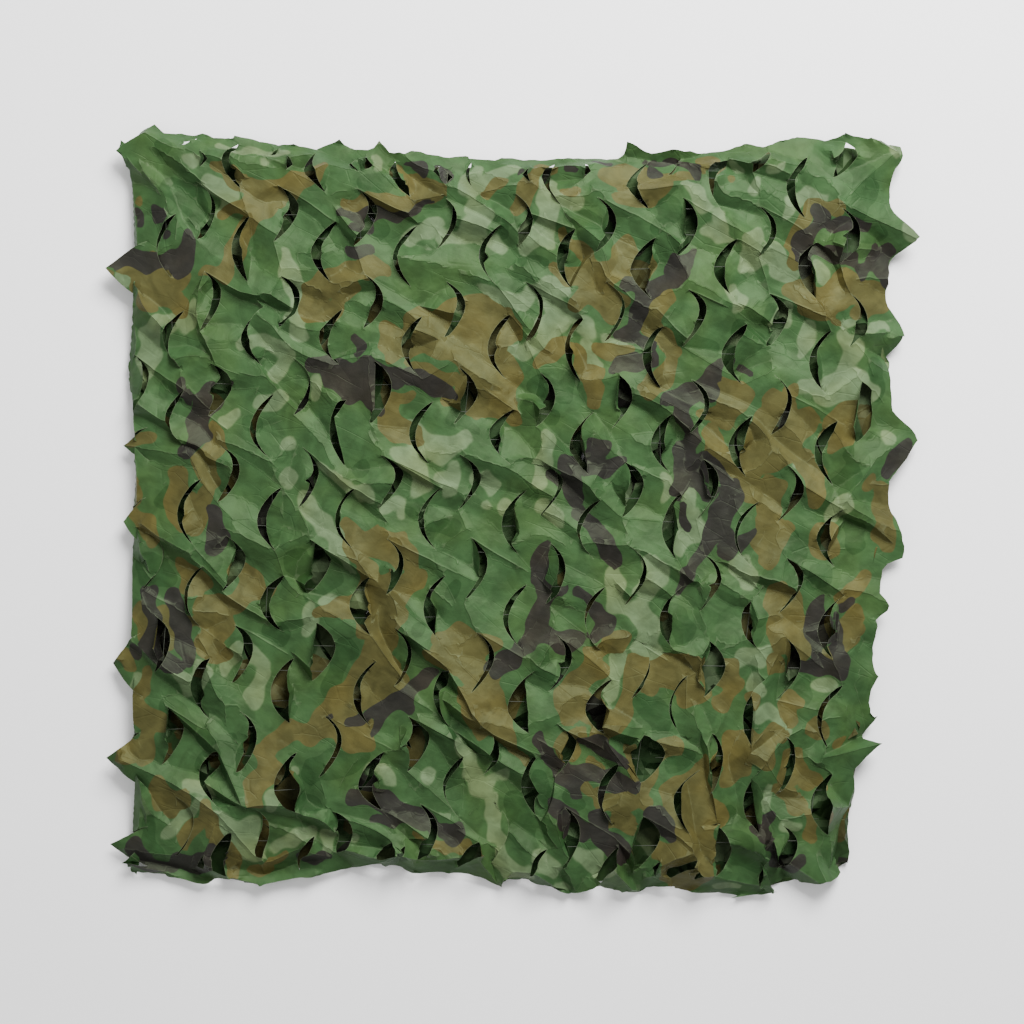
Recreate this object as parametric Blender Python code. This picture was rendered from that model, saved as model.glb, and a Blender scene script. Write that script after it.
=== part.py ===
"""Camouflage net: one slit-cut cloth folded back and forth into three layers.

The cloth lies on the ground. Its section runs left to right along the ground,
turns up and back at the right, turns again at the left, and ends as the top
layer, whose raw right edge shows its leaf points. X runs across the folds and
Y along them. The origin is on the ground, under the middle of the bundle.
"""

import math
import random

import bmesh
import bpy
from mathutils import Vector
from mathutils.geometry import delaunay_2d_cdt

# The cloth and its three layers
CLOTH_T = 0.0015
LOW_Z = CLOTH_T / 2
MID_Z = 0.0140
TOP_Z = 0.0350
FOLD_RIGHT_X = 0.462
FOLD_LEFT_X = -0.466
BEND_STEPS = 4
LOWER_INSET = 0.012
LOWER_POINT_REACH = 0.011

# Slits: ")" and "(" cuts in turn, on a slightly leaning lattice
COLUMN_PITCH = 0.1004
ROW_PITCH = 0.1106
ROW_DRIFT_X = 0.0100
COLUMN_DROP = 0.0042
FIRST_SLIT = (-0.3688, 0.3844)
COLUMNS = range(-2, 9)
ROWS = range(-1, 9)
PARTNER_STEP = (0.0188, -0.0538)
SLIT_ROUND = 0.24
LOWER_ROW_STEP = 2

# Legs of a slit, from its vertex to its two tips
SLIT_KINDS = {
    "right": {"upper": (-0.024, 0.031), "lower": (-0.029, -0.041), "tongue": -1},
    "left": {"upper": (0.031, 0.037), "lower": (0.025, -0.040), "tongue": 1},
}
GAP_RANGE = (0.010, 0.021)
TONGUE_LIFT = (0.004, 0.013)
SLIT_SHIFT = 0.004
SLIT_MARGIN = 0.007

# Points of cloth between the slits
TOP_SPACING = 0.046
LOWER_SPACING = 0.110
POINT_CLEARANCE = 0.015
POINT_INSET = 0.038
POINT_HALF_Y = 0.430
BEND_CLEARANCE = 0.002
HOLE_REACH = 0.150
EDGE_STEP = 0.045
MERGE_DISTANCE = 1e-6

# Sides of the bundle: how far the cloth reaches at each height
SIDE_LINES = [
    {"y": 0.480, "left": 1.000, "right": 1.005},
    {"y": 0.250, "left": 1.000, "right": 1.000},
    {"y": 0.050, "left": 0.995, "right": 1.000},
    {"y": -0.120, "left": 0.990, "right": 0.965},
    {"y": -0.320, "left": 1.000, "right": 0.940},
    {"y": -0.480, "left": 0.980, "right": 0.905},
]

# Top and bottom cut edges of the top layer, before their leaf points
CUT_EDGES = [
    {"x": -0.480, "top": 0.452, "bottom": -0.448},
    {"x": -0.360, "top": 0.466, "bottom": -0.464},
    {"x": -0.210, "top": 0.452, "bottom": -0.443},
    {"x": -0.030, "top": 0.436, "bottom": -0.456},
    {"x": 0.080, "top": 0.444, "bottom": -0.474},
    {"x": 0.230, "top": 0.450, "bottom": -0.470},
    {"x": 0.360, "top": 0.462, "bottom": -0.474},
    {"x": 0.480, "top": 0.458, "bottom": -0.448},
]

# Where the right cut edge starts and ends, and the top layer's cut corners
RIGHT_EDGE = {"bottom": -0.435, "top": 0.425}
CORNER_CUT = {"bottom": 0.030, "top": 0.012}

# Leaf points that stand out from the cut edges: place, reach, half width
LEAF_POINTS = [
    {"edge": "top", "at": -0.458, "reach": 0.024, "half": 0.022, "lean": 0.004},
    {"edge": "top", "at": -0.338, "reach": 0.010, "half": 0.020, "lean": -0.010},
    {"edge": "top", "at": -0.225, "reach": 0.012, "half": 0.018, "lean": 0.008},
    {"edge": "top", "at": -0.170, "reach": 0.016, "half": 0.010, "lean": 0.000},
    {"edge": "top", "at": 0.136, "reach": 0.018, "half": 0.020, "lean": -0.012},
    {"edge": "top", "at": 0.410, "reach": 0.014, "half": 0.026, "lean": 0.004},
    {"edge": "right", "at": 0.448, "reach": 0.016, "half": 0.024, "lean": 0.006},
    {"edge": "right", "at": 0.345, "reach": 0.035, "half": 0.034, "lean": 0.000},
    {"edge": "right", "at": 0.224, "reach": 0.018, "half": 0.030, "lean": -0.006},
    {"edge": "right", "at": 0.092, "reach": 0.034, "half": 0.034, "lean": 0.004},
    {"edge": "right", "at": -0.062, "reach": 0.024, "half": 0.034, "lean": -0.014},
    {"edge": "right", "at": -0.118, "reach": 0.012, "half": 0.014, "lean": 0.000},
    {"edge": "right", "at": -0.254, "reach": 0.016, "half": 0.020, "lean": -0.006},
    {"edge": "right", "at": -0.300, "reach": 0.016, "half": 0.018, "lean": 0.010},
    {"edge": "bottom", "at": -0.255, "reach": 0.008, "half": 0.022, "lean": 0.006},
    {"edge": "bottom", "at": 0.075, "reach": 0.004, "half": 0.030, "lean": 0.004},
    {"edge": "bottom", "at": 0.310, "reach": 0.007, "half": 0.030, "lean": -0.006},
]

LEAF_MARGIN = 0.006

# Tongues that stay straight where the left fold bends, and so stick out
FOLD_TONGUES = [
    {"y": 0.306, "reach": 0.044, "half": 0.034},
    {"y": 0.083, "reach": 0.022, "half": 0.022},
    {"y": -0.012, "reach": 0.020, "half": 0.026},
    {"y": -0.185, "reach": 0.028, "half": 0.030},
    {"y": -0.310, "reach": 0.037, "half": 0.032},
    {"y": -0.402, "reach": 0.030, "half": 0.024},
]
TONGUE_ROOT = 0.006
TONGUE_BACK = 0.012
TONGUE_DIP = 0.004

# Main folds of the top layer: soft ridges (+) and troughs (-)
MAIN_FOLDS = [
    {"x0": -0.42, "y0": 0.400, "x1": 0.44, "y1": 0.405, "height": 0.006, "width": 0.026},
    {"x0": -0.07, "y0": -0.225, "x1": 0.03, "y1": -0.320, "height": 0.011, "width": 0.026},
    {"x0": -0.02, "y0": -0.340, "x1": 0.05, "y1": -0.420, "height": -0.007, "width": 0.032},
    {"x0": -0.26, "y0": -0.240, "x1": -0.24, "y1": -0.330, "height": -0.006, "width": 0.026},
    {"x0": -0.32, "y0": -0.370, "x1": -0.10, "y1": -0.410, "height": 0.009, "width": 0.026},
    {"x0": -0.41, "y0": 0.160, "x1": -0.38, "y1": -0.060, "height": 0.008, "width": 0.026},
    {"x0": -0.08, "y0": 0.110, "x1": 0.10, "y1": 0.030, "height": 0.006, "width": 0.024},
    {"x0": 0.22, "y0": 0.120, "x1": 0.36, "y1": 0.010, "height": 0.010, "width": 0.030},
    {"x0": 0.14, "y0": -0.090, "x1": 0.30, "y1": -0.240, "height": -0.006, "width": 0.028},
    {"x0": 0.26, "y0": -0.330, "x1": 0.40, "y1": -0.270, "height": 0.009, "width": 0.028},
    {"x0": -0.30, "y0": 0.270, "x1": -0.05, "y1": 0.200, "height": 0.007, "width": 0.028},
    {"x0": 0.10, "y0": 0.330, "x1": 0.38, "y1": 0.250, "height": 0.007, "width": 0.030},
]
FOLD_FADE = 0.060
RIM_DROOP = 0.006
RIM_WIDTH = 0.050
MID_WAVE = {"height": 0.0020, "length_x": 0.31, "length_y": 0.27}

CLOTH_COLOUR = (0.082, 0.165, 0.072, 1.0)
CLOTH_ROUGHNESS = 0.55
SEED = 11


def smooth(value):
    """Ease 0..1 with flat ends; outside values are clamped."""
    value = min(1.0, max(0.0, value))
    return value * value * (3 - 2 * value)


def between(rows, key, at, column):
    """Read a table column at a place, eased between its rows."""
    rows = sorted(rows, key=lambda row: row[key])
    if at <= rows[0][key]:
        return rows[0][column]
    for low, high in zip(rows, rows[1:]):
        if at <= high[key]:
            part = smooth((at - low[key]) / (high[key] - low[key]))
            return low[column] + part * (high[column] - low[column])
    return rows[-1][column]


def distance_to_line(x, y, x0, y0, x1, y1):
    """Distance from a point to the stretch between two points."""
    dx, dy = x1 - x0, y1 - y0
    along = ((x - x0) * dx + (y - y0) * dy) / (dx * dx + dy * dy)
    along = min(1.0, max(0.0, along))
    return math.hypot(x - x0 - along * dx, y - y0 - along * dy)


class FoldedSection:
    """The back-and-forth section: where a place on the flat cloth ends up."""

    def __init__(self):
        self.run = FOLD_RIGHT_X - FOLD_LEFT_X
        self.right_radius = (MID_Z - LOW_Z) / 2
        self.left_radius = (TOP_Z - MID_Z) / 2
        self.low_start = 0.0
        self.right_bend = self.low_start + self.run
        self.mid_start = self.right_bend + math.pi * self.right_radius
        self.left_bend = self.mid_start + self.run
        self.top_start = self.left_bend + math.pi * self.left_radius

    def top_flat(self, x):
        """Length along the cloth of a place on the top layer."""
        return self.top_start + x - FOLD_LEFT_X

    def mid_flat(self, x):
        """Length along the cloth of a place on the middle layer."""
        return self.mid_start + FOLD_RIGHT_X - x

    def low_flat(self, x):
        """Length along the cloth of a place on the bottom layer."""
        return self.low_start + x - FOLD_LEFT_X

    def place(self, flat, y):
        """Fold one point of the flat cloth into the bundle."""
        if flat < self.right_bend:
            return FOLD_LEFT_X + flat, y, LOW_Z
        if flat < self.mid_start:
            turn = (flat - self.right_bend) / self.right_radius
            centre = LOW_Z + self.right_radius
            x = FOLD_RIGHT_X + self.right_radius * math.sin(turn)
            return x, y, centre - self.right_radius * math.cos(turn)
        if flat < self.left_bend:
            x = FOLD_RIGHT_X - (flat - self.mid_start)
            return x, y, MID_Z + mid_height(x, y)
        if flat < self.top_start:
            turn = (flat - self.left_bend) / self.left_radius
            centre = MID_Z + self.left_radius
            x = FOLD_LEFT_X - self.left_radius * math.sin(turn)
            return x, y, centre - self.left_radius * math.cos(turn)
        x = FOLD_LEFT_X + flat - self.top_start
        return x, y, TOP_Z + top_height(x, y)


def mid_height(x, y):
    """Low waves of the middle layer, gone at both folds."""
    fade = smooth((FOLD_RIGHT_X - abs(x)) / FOLD_FADE)
    wave = math.sin(2 * math.pi * x / MID_WAVE["length_x"])
    wave *= math.cos(2 * math.pi * y / MID_WAVE["length_y"])
    return fade * MID_WAVE["height"] * wave


def top_height(x, y):
    """Main folds of the top layer, and its droop at the cut edges."""
    height = 0.0
    for fold in MAIN_FOLDS:
        away = distance_to_line(x, y, fold["x0"], fold["y0"], fold["x1"], fold["y1"])
        height += fold["height"] * (1 - smooth(away / (2 * fold["width"])))
    rim = min(
        between(CUT_EDGES, "x", x, "top") - y,
        y - between(CUT_EDGES, "x", x, "bottom"),
        FOLD_RIGHT_X + LOWER_INSET - x,
    )
    droop = RIM_DROOP * (1 - smooth(rim / RIM_WIDTH))
    fade = smooth((x - FOLD_LEFT_X) / FOLD_FADE)
    return fade * (height - droop)


def lean_sides(x, y):
    """Draw the sides in or out at each height of the bundle."""
    side = "right" if x > 0 else "left"
    return x * between(SIDE_LINES, "y", y, side)


def edge_run(start, end, value_at, points):
    """Walk along one cut edge and put its leaf points in.

    start and end are places along the edge, value_at gives the plain edge, and
    each leaf point adds its two roots and its tip.
    """
    count = max(2, round(abs(end - start) / EDGE_STEP))
    places = [start + (end - start) * step / count for step in range(count + 1)]
    walk = []
    for place in places:
        near = [p for p in points if abs(place - p["at"]) < p["half"] + LEAF_MARGIN]
        if not near:
            walk.append((place, value_at(place)))
    for point in points:
        for root in (point["at"] - point["half"], point["at"] + point["half"]):
            walk.append((root, value_at(root)))
        tip = point["at"] + point["lean"]
        walk.append((tip, value_at(tip) + point["reach"]))
    return sorted(walk, reverse=end < start)


def top_outline(section):
    """Cut outline of the top layer from its lower left to its upper left."""
    points = {name: [p for p in LEAF_POINTS if p["edge"] == name]
              for name in ("top", "right", "bottom")}
    right_x = FOLD_RIGHT_X + LOWER_INSET
    bottom = edge_run(
        FOLD_LEFT_X, right_x - CORNER_CUT["bottom"],
        lambda x: -between(CUT_EDGES, "x", x, "bottom"), points["bottom"])
    right = edge_run(
        RIGHT_EDGE["bottom"], RIGHT_EDGE["top"], lambda y: right_x, points["right"][1:])
    top = edge_run(
        right_x - CORNER_CUT["top"], FOLD_LEFT_X,
        lambda x: between(CUT_EDGES, "x", x, "top"), points["top"])
    corner = points["right"][0]
    outline = [(section.top_flat(x), -y) for x, y in bottom]
    outline += [(section.top_flat(x), y) for y, x in right]
    outline.append((section.top_flat(right_x + corner["reach"]), corner["at"]))
    outline += [(section.top_flat(x), y) for x, y in top]
    return outline


def lower_outline(section):
    """Cut edges of the two lower layers and both bends, end to end.

    Every second place of a run is the tip of a leaf point.
    """
    count = round(section.left_bend / EDGE_STEP)
    lower, upper = [], []
    for index in range(count + 1):
        flat = section.left_bend * index / count
        x = section.place(flat, 0.0)[0]
        inset = LOWER_INSET - LOWER_POINT_REACH * (index % 2)
        lower.append((flat, between(CUT_EDGES, "x", x, "bottom") + inset))
        upper.append((flat, between(CUT_EDGES, "x", x, "top") - inset))
    for bend, radius in ((section.right_bend, section.right_radius),
                         (section.left_bend, section.left_radius)):
        for turn in range(BEND_STEPS + 1):
            flat = bend + math.pi * radius * turn / BEND_STEPS
            x = section.place(flat, 0.0)[0]
            lower.append((flat, between(CUT_EDGES, "x", x, "bottom") + LOWER_INSET))
            upper.append((flat, between(CUT_EDGES, "x", x, "top") - LOWER_INSET))
    return thin_out(lower), thin_out(upper)


def thin_out(walk):
    """Sort a walk along the cloth and drop points that nearly coincide."""
    kept = []
    for point in sorted(walk):
        if not kept or point[0] - kept[-1][0] > CLOTH_T:
            kept.append(point)
    return kept


def slit_outline(kind, vertex, gap):
    """Leaf-shaped hole of one slit, and which of its points are the tongue's.

    The outer side has a rounded vertex of two points, and the tongue's side
    the same two, drawn back from it by the gap.
    """
    legs = SLIT_KINDS[kind]
    x, y = vertex
    upper, lower = legs["upper"], legs["lower"]
    corner_up = (x + SLIT_ROUND * upper[0], y + SLIT_ROUND * upper[1])
    corner_down = (x + SLIT_ROUND * lower[0], y + SLIT_ROUND * lower[1])
    back = legs["tongue"] * gap
    outline = [
        (x + upper[0], y + upper[1]), corner_up, corner_down,
        (x + lower[0], y + lower[1]),
        (corner_down[0] + back, corner_down[1]), (corner_up[0] + back, corner_up[1]),
    ]
    return outline, (4, 5)


def lattice(rng):
    """Yield every slit of one layer: its kind, row, vertex and gap."""
    for row in ROWS:
        for column in COLUMNS:
            x = FIRST_SLIT[0] + column * COLUMN_PITCH + row * ROW_DRIFT_X
            y = FIRST_SLIT[1] - row * ROW_PITCH - column * COLUMN_DROP
            for kind, step in (("right", (0.0, 0.0)), ("left", PARTNER_STEP)):
                shift_x = rng.uniform(-SLIT_SHIFT, SLIT_SHIFT)
                shift_y = rng.uniform(-SLIT_SHIFT, SLIT_SHIFT)
                vertex = (x + step[0] + shift_x, y + step[1] + shift_y)
                yield kind, row, vertex, rng.uniform(*GAP_RANGE)


def encloses(outline, point):
    """True where a point lies within a closed outline."""
    within = False
    for a, b in zip(outline, outline[1:] + outline[:1]):
        if (a.y > point.y) != (b.y > point.y):
            across = a.x + (point.y - a.y) / (b.y - a.y) * (b.x - a.x)
            within ^= point.x < across
    return within


def inside(outline, x0, x1, y_low, y_high):
    """True where a hole keeps its margin from the layer's edges."""
    for x, y in outline:
        if not x0 + SLIT_MARGIN < x < x1 - SLIT_MARGIN:
            return False
        if not y_low(x) + SLIT_MARGIN < y < y_high(x) - SLIT_MARGIN:
            return False
    return True


class FlatCloth:
    """The flat cloth with its holes, ready to be filled with triangles."""

    def __init__(self, section):
        self.section = section
        self.points = []
        self.loops = []
        self.moves = {}
        self.owner = {}
        self.holes = []

    def add_loop(self, outline):
        """Add a closed outline and return the index of its first point."""
        first = len(self.points)
        self.points += [Vector(point) for point in outline]
        count = len(outline)
        self.loops.append([(first + i, first + (i + 1) % count) for i in range(count)])
        return first

    def add_hole(self, outline, moved, shift):
        """Cut a hole, and note how far its tongue's points are moved."""
        first = self.add_loop(outline)
        for index in range(len(outline)):
            self.owner[first + index] = len(self.holes)
        self.holes.append([Vector(point) for point in outline])
        for index in moved:
            self.moves[first + index] = shift

    def free(self, flat, y, clearance):
        """True where a place is outside every hole and clear of its edge."""
        for hole in self.holes:
            if abs(hole[0].x - flat) > HOLE_REACH or abs(hole[0].y - y) > HOLE_REACH:
                continue
            if encloses(hole, Vector((flat, y))):
                return False
            for a, b in zip(hole, hole[1:] + hole[:1]):
                if distance_to_line(flat, y, a.x, a.y, b.x, b.y) < clearance:
                    return False
        return True

    def triangles(self):
        """Fill the cloth: all places, and triangles with the holes left open."""
        edges = [edge for loop in self.loops for edge in loop]
        places, _, faces, origins, _, _ = delaunay_2d_cdt(
            self.points, edges, [], 1, MERGE_DISTANCE)
        moves, owner = {}, {}
        for index, sources in enumerate(origins):
            for source in sources:
                owner[index] = self.owner.get(source, owner.get(index))
                if source in self.moves:
                    moves[index] = self.moves[source]
        kept = [face for face in faces if not self.in_hole(places, face, owner)]
        return places, kept, moves

    def in_hole(self, places, face, owner):
        """True for a triangle that fills a hole."""
        names = {owner.get(index) for index in face}
        if len(names) > 1 or None in names:
            return False
        centre = (places[face[0]] + places[face[1]] + places[face[2]]) / 3
        return encloses(self.holes[names.pop()], centre)


def cut_top_layer(cloth, rng):
    """Cut every slit of the top layer, with its tongue lifted a little."""
    section = cloth.section

    def low(x):
        return between(CUT_EDGES, "x", x, "bottom")

    def high(x):
        return between(CUT_EDGES, "x", x, "top")

    for kind, _, vertex, gap in lattice(rng):
        outline, tongue = slit_outline(kind, vertex, gap)
        lift = rng.uniform(*TONGUE_LIFT)
        if not inside(outline, FOLD_LEFT_X, FOLD_RIGHT_X + LOWER_INSET, low, high):
            continue
        flat = [(section.top_flat(x), y) for x, y in outline]
        if all(cloth.free(place, y, SLIT_MARGIN) for place, y in flat):
            cloth.add_hole(flat, tongue, (0.0, 0.0, lift))


def cut_fold_tongues(cloth):
    """Cut the tongues at the left fold, which stick straight out of it.

    The hole that a tongue leaves follows the bend, narrower towards its lip.
    """
    section = cloth.section
    for row in FOLD_TONGUES:
        root = section.top_start + TONGUE_ROOT
        tip = section.top_start - TONGUE_BACK
        mouth = [
            (section.left_bend + math.pi * section.left_radius * turn / BEND_STEPS,
             row["half"] * math.sin(math.pi / 2 * turn / BEND_STEPS))
            for turn in range(BEND_STEPS - 1, 0, -1)
        ]
        outline = [(root, row["y"] + row["half"]), (tip, row["y"]),
                   (root, row["y"] - row["half"])]
        outline += [(flat, row["y"] - half) for flat, half in mouth]
        outline += [(flat, row["y"] + half) for flat, half in reversed(mouth)]
        x, _, z = section.place(tip, row["y"])
        out = FOLD_LEFT_X - row["reach"] - x
        cloth.add_hole(outline, (1,), (out, 0.0, TOP_Z - TONGUE_DIP - z))


def cut_lower_layers(cloth, rng):
    """Cut the larger slits of the two lower layers, in every second row."""
    section = cloth.section

    def low(x):
        return between(CUT_EDGES, "x", x, "bottom") + LOWER_INSET

    def high(x):
        return between(CUT_EDGES, "x", x, "top") - LOWER_INSET

    for flat_of in (section.low_flat, section.mid_flat):
        for kind, row, vertex, gap in lattice(rng):
            outline, _ = slit_outline(kind, vertex, gap)
            if kind != "right" or row % LOWER_ROW_STEP:
                continue
            if inside(outline, FOLD_LEFT_X, FOLD_RIGHT_X, low, high):
                flat = [(flat_of(x), y) for x, y in outline]
                cloth.add_hole(flat, (), (0.0, 0.0, 0.0))


def scatter(cloth, start, end, spacing):
    """Add places between the slits of one layer, in offset rows."""
    rows = int(2 * POINT_HALF_Y / spacing)
    start, end = start + POINT_INSET, end - POINT_INSET
    for row in range(rows + 1):
        y = POINT_HALF_Y * (2 * row / rows - 1)
        offset = spacing / 2 if row % 2 else 0.0
        count = int((end - start - offset) / spacing)
        for step in range(count + 1):
            flat = start + offset + step * spacing
            x = cloth.section.place(flat, 0.0)[0]
            low = between(CUT_EDGES, "x", x, "bottom") + LOWER_INSET + POINT_CLEARANCE
            high = between(CUT_EDGES, "x", x, "top") - LOWER_INSET - POINT_CLEARANCE
            if low < y < high and cloth.free(flat, y, POINT_CLEARANCE):
                cloth.points.append(Vector((flat, y)))


def bend_rows(cloth, bend, radius):
    """Add rows of places along a bend so that it turns smoothly."""
    section = cloth.section
    rows = 2 * int(2 * POINT_HALF_Y / LOWER_SPACING)
    for turn in range(BEND_STEPS + 1):
        flat = bend + math.pi * radius * turn / BEND_STEPS
        x = section.place(flat, 0.0)[0]
        low = between(CUT_EDGES, "x", x, "bottom") + LOWER_INSET + POINT_CLEARANCE
        high = between(CUT_EDGES, "x", x, "top") - LOWER_INSET - POINT_CLEARANCE
        for row in range(rows + 1):
            y = low + (high - low) * row / rows
            if cloth.free(flat, y, BEND_CLEARANCE):
                cloth.points.append(Vector((flat, y)))


def cloth_outline(section):
    """Whole outline of the flat cloth, all three layers in one piece."""
    lower, upper = lower_outline(section)
    top = top_outline(section)
    return lower + top + upper[::-1]


def centre_on_origin(body):
    """Slide the bundle along the ground until its middle is over the origin."""
    xs = [vertex.co.x for vertex in body.verts]
    ys = [vertex.co.y for vertex in body.verts]
    middle = Vector(((min(xs) + max(xs)) / 2, (min(ys) + max(ys)) / 2, 0.0))
    bmesh.ops.translate(body, verts=body.verts, vec=-middle)


def build_cloth():
    """Make the folded, slit cloth as one body, still without thickness."""
    rng = random.Random(SEED)
    section = FoldedSection()
    cloth = FlatCloth(section)
    cloth.add_loop(cloth_outline(section))
    cut_fold_tongues(cloth)
    cut_top_layer(cloth, rng)
    cut_lower_layers(cloth, rng)
    scatter(cloth, section.top_start, section.top_flat(FOLD_RIGHT_X), TOP_SPACING)
    scatter(cloth, section.low_start, section.right_bend, LOWER_SPACING)
    scatter(cloth, section.mid_start, section.left_bend, LOWER_SPACING)
    bend_rows(cloth, section.right_bend, section.right_radius)
    bend_rows(cloth, section.left_bend, section.left_radius)

    places, faces, moves = cloth.triangles()
    mesh = bpy.data.meshes.new("net_cloth")
    body = bmesh.new()
    for index, place in enumerate(places):
        x, y, z = section.place(place.x, place.y)
        move = moves.get(index, (0.0, 0.0, 0.0))
        x, y, z = x + move[0], y + move[1], z + move[2]
        body.verts.new((lean_sides(x, y), y, z))
    body.verts.ensure_lookup_table()
    for face in faces:
        body.faces.new([body.verts[i] for i in face])
    bmesh.ops.recalc_face_normals(body, faces=body.faces)
    centre_on_origin(body)
    body.to_mesh(mesh)
    body.free()
    return mesh


def cloth_material():
    """Green coated cloth, slightly shiny."""
    material = bpy.data.materials.new("camouflage_cloth")
    material.use_nodes = True
    shader = material.node_tree.nodes["Principled BSDF"]
    shader.inputs["Base Color"].default_value = CLOTH_COLOUR
    shader.inputs["Roughness"].default_value = CLOTH_ROUGHNESS
    shader.inputs["Metallic"].default_value = 0.0
    return material


def main():
    """Clear the scene and make the net."""
    for item in list(bpy.data.objects):
        bpy.data.objects.remove(item)
    net = bpy.data.objects.new("net_cloth", build_cloth())
    bpy.context.scene.collection.objects.link(net)
    net.data.materials.append(cloth_material())
    shell = net.modifiers.new("cloth thickness", "SOLIDIFY")
    shell.thickness = CLOTH_T
    shell.offset = 0.0


main()
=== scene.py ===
"""Folded camouflage net: its slit-cut printed cloth, string mesh and studio.

The cloth is one long strip folded back and forth into three layers. It is cut flat,
with its slits, then gathered onto its ties and relaxed, so that it buckles into
creases and its tongues open. The woodland print is charted on the top layer
and repeats along the strip.
"""

from __future__ import annotations

import heapq
import logging
import math
import random
from dataclasses import dataclass, field
from enum import Enum
from typing import Iterator

import bmesh
import bpy
import numpy as np
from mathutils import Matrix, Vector
from mathutils.geometry import delaunay_2d_cdt
from mathutils.kdtree import KDTree

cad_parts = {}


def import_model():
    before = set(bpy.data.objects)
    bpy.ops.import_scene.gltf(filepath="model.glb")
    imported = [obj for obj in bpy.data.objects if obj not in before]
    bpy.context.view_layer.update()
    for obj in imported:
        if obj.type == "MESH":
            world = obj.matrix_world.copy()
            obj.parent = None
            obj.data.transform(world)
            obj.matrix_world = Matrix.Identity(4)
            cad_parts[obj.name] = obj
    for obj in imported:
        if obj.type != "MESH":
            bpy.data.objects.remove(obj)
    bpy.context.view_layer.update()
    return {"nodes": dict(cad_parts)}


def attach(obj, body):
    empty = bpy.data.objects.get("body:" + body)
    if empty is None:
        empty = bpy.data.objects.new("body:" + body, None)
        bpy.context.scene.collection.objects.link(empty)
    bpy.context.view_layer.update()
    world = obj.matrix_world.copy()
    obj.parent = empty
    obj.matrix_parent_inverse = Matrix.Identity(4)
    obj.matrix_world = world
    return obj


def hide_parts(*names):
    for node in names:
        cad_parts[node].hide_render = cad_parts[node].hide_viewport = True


LOG = logging.getLogger("camouflage_net")
TINY = 1e-12
LEAST_SIZE = 1e-9
SAME_PLACE = 1e-4


class Side(Enum):
    """Which way a slit bulges, and so where its tongue hangs."""

    RIGHT = "right"
    LEFT = "left"


class Ink(Enum):
    """Inks of the woodland print, in the order they are laid on the green; the darker green
    one is partly painted shade.
    """

    # Darker green: partly print, partly painted shade where folds fall into shade.
    DEEP_AND_SHADE = "deep_and_shade"
    PALE = "pale"
    BROWN = "brown"
    DARK = "dark"


def smooth(value: np.ndarray) -> np.ndarray:
    """Ease 0..1 with flat ends.

    Args:
        value: Values, clamped to 0..1.

    Returns:
        The eased values.
    """
    value = np.clip(value, 0.0, 1.0)
    return value * value * (3.0 - 2.0 * value)


def beside(x: np.ndarray, y: np.ndarray, a: tuple[float, ...],
           b: tuple[float, ...]) -> tuple[np.ndarray, np.ndarray]:
    """Place of points beside the stretch between two ends.

    Args:
        x: Places across.
        y: Places along.
        a: One end of the stretch.
        b: Its other end.

    Returns:
        How far along the stretch each lies, 0 to 1, and its distance from it.
    """
    dx, dy = b[0] - a[0], b[1] - a[1]
    part = ((x - a[0]) * dx + (y - a[1]) * dy) / (dx * dx + dy * dy + TINY)
    part = np.clip(part, 0.0, 1.0)
    return part, np.hypot(x - a[0] - part * dx, y - a[1] - part * dy)


def tree_of(spots: np.ndarray) -> KDTree:
    """Search tree of flat places.

    Args:
        spots: The places, one row each.

    Returns:
        The tree, which gives a place's row.
    """
    tree = KDTree(len(spots))
    for index, (x, y) in enumerate(spots):
        tree.insert((x, y, 0.0), index)
    tree.balance()
    return tree


def edge_ends(faces: np.ndarray) -> np.ndarray:
    """Ends of the triangles' edges, smaller first: all first edges, second, third."""
    return np.sort(np.concatenate([faces[:, [0, 1]], faces[:, [1, 2]], faces[:, [2, 0]]]),
                   axis=1)


def edge_keys(ends: np.ndarray, size: int) -> np.ndarray:
    """One number for each edge, from its ends in any order."""
    ends = np.sort(ends, axis=1).astype(np.int64)
    return ends[:, 0] * size + ends[:, 1]


def cut_edges(faces: np.ndarray) -> np.ndarray:
    """Ends of the edges that only one triangle has."""
    ends, count = np.unique(edge_ends(faces), axis=0, return_counts=True)
    return ends[count == 1]


def paired_edges(faces: np.ndarray, creased: np.ndarray
                 ) -> tuple[np.ndarray, np.ndarray, np.ndarray]:
    """Find the edges that two triangles share.

    Args:
        faces: The triangles.
        creased: Ends of the creased edges.

    Returns:
        The order that brings the edges of edge_ends together, where in it the second
        triangle of each shared edge stands, and which shared edges are creased.
    """
    size = int(faces.max()) + 1
    key = edge_keys(edge_ends(faces), size)
    order = np.argsort(key, kind="stable")
    again = np.flatnonzero(key[order][1:] == key[order][:-1]) + 1
    return order, again, np.isin(key[order][again], edge_keys(creased, size))


# ---------------------------------------------------------------------------
# The folded strip
# ---------------------------------------------------------------------------


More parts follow.
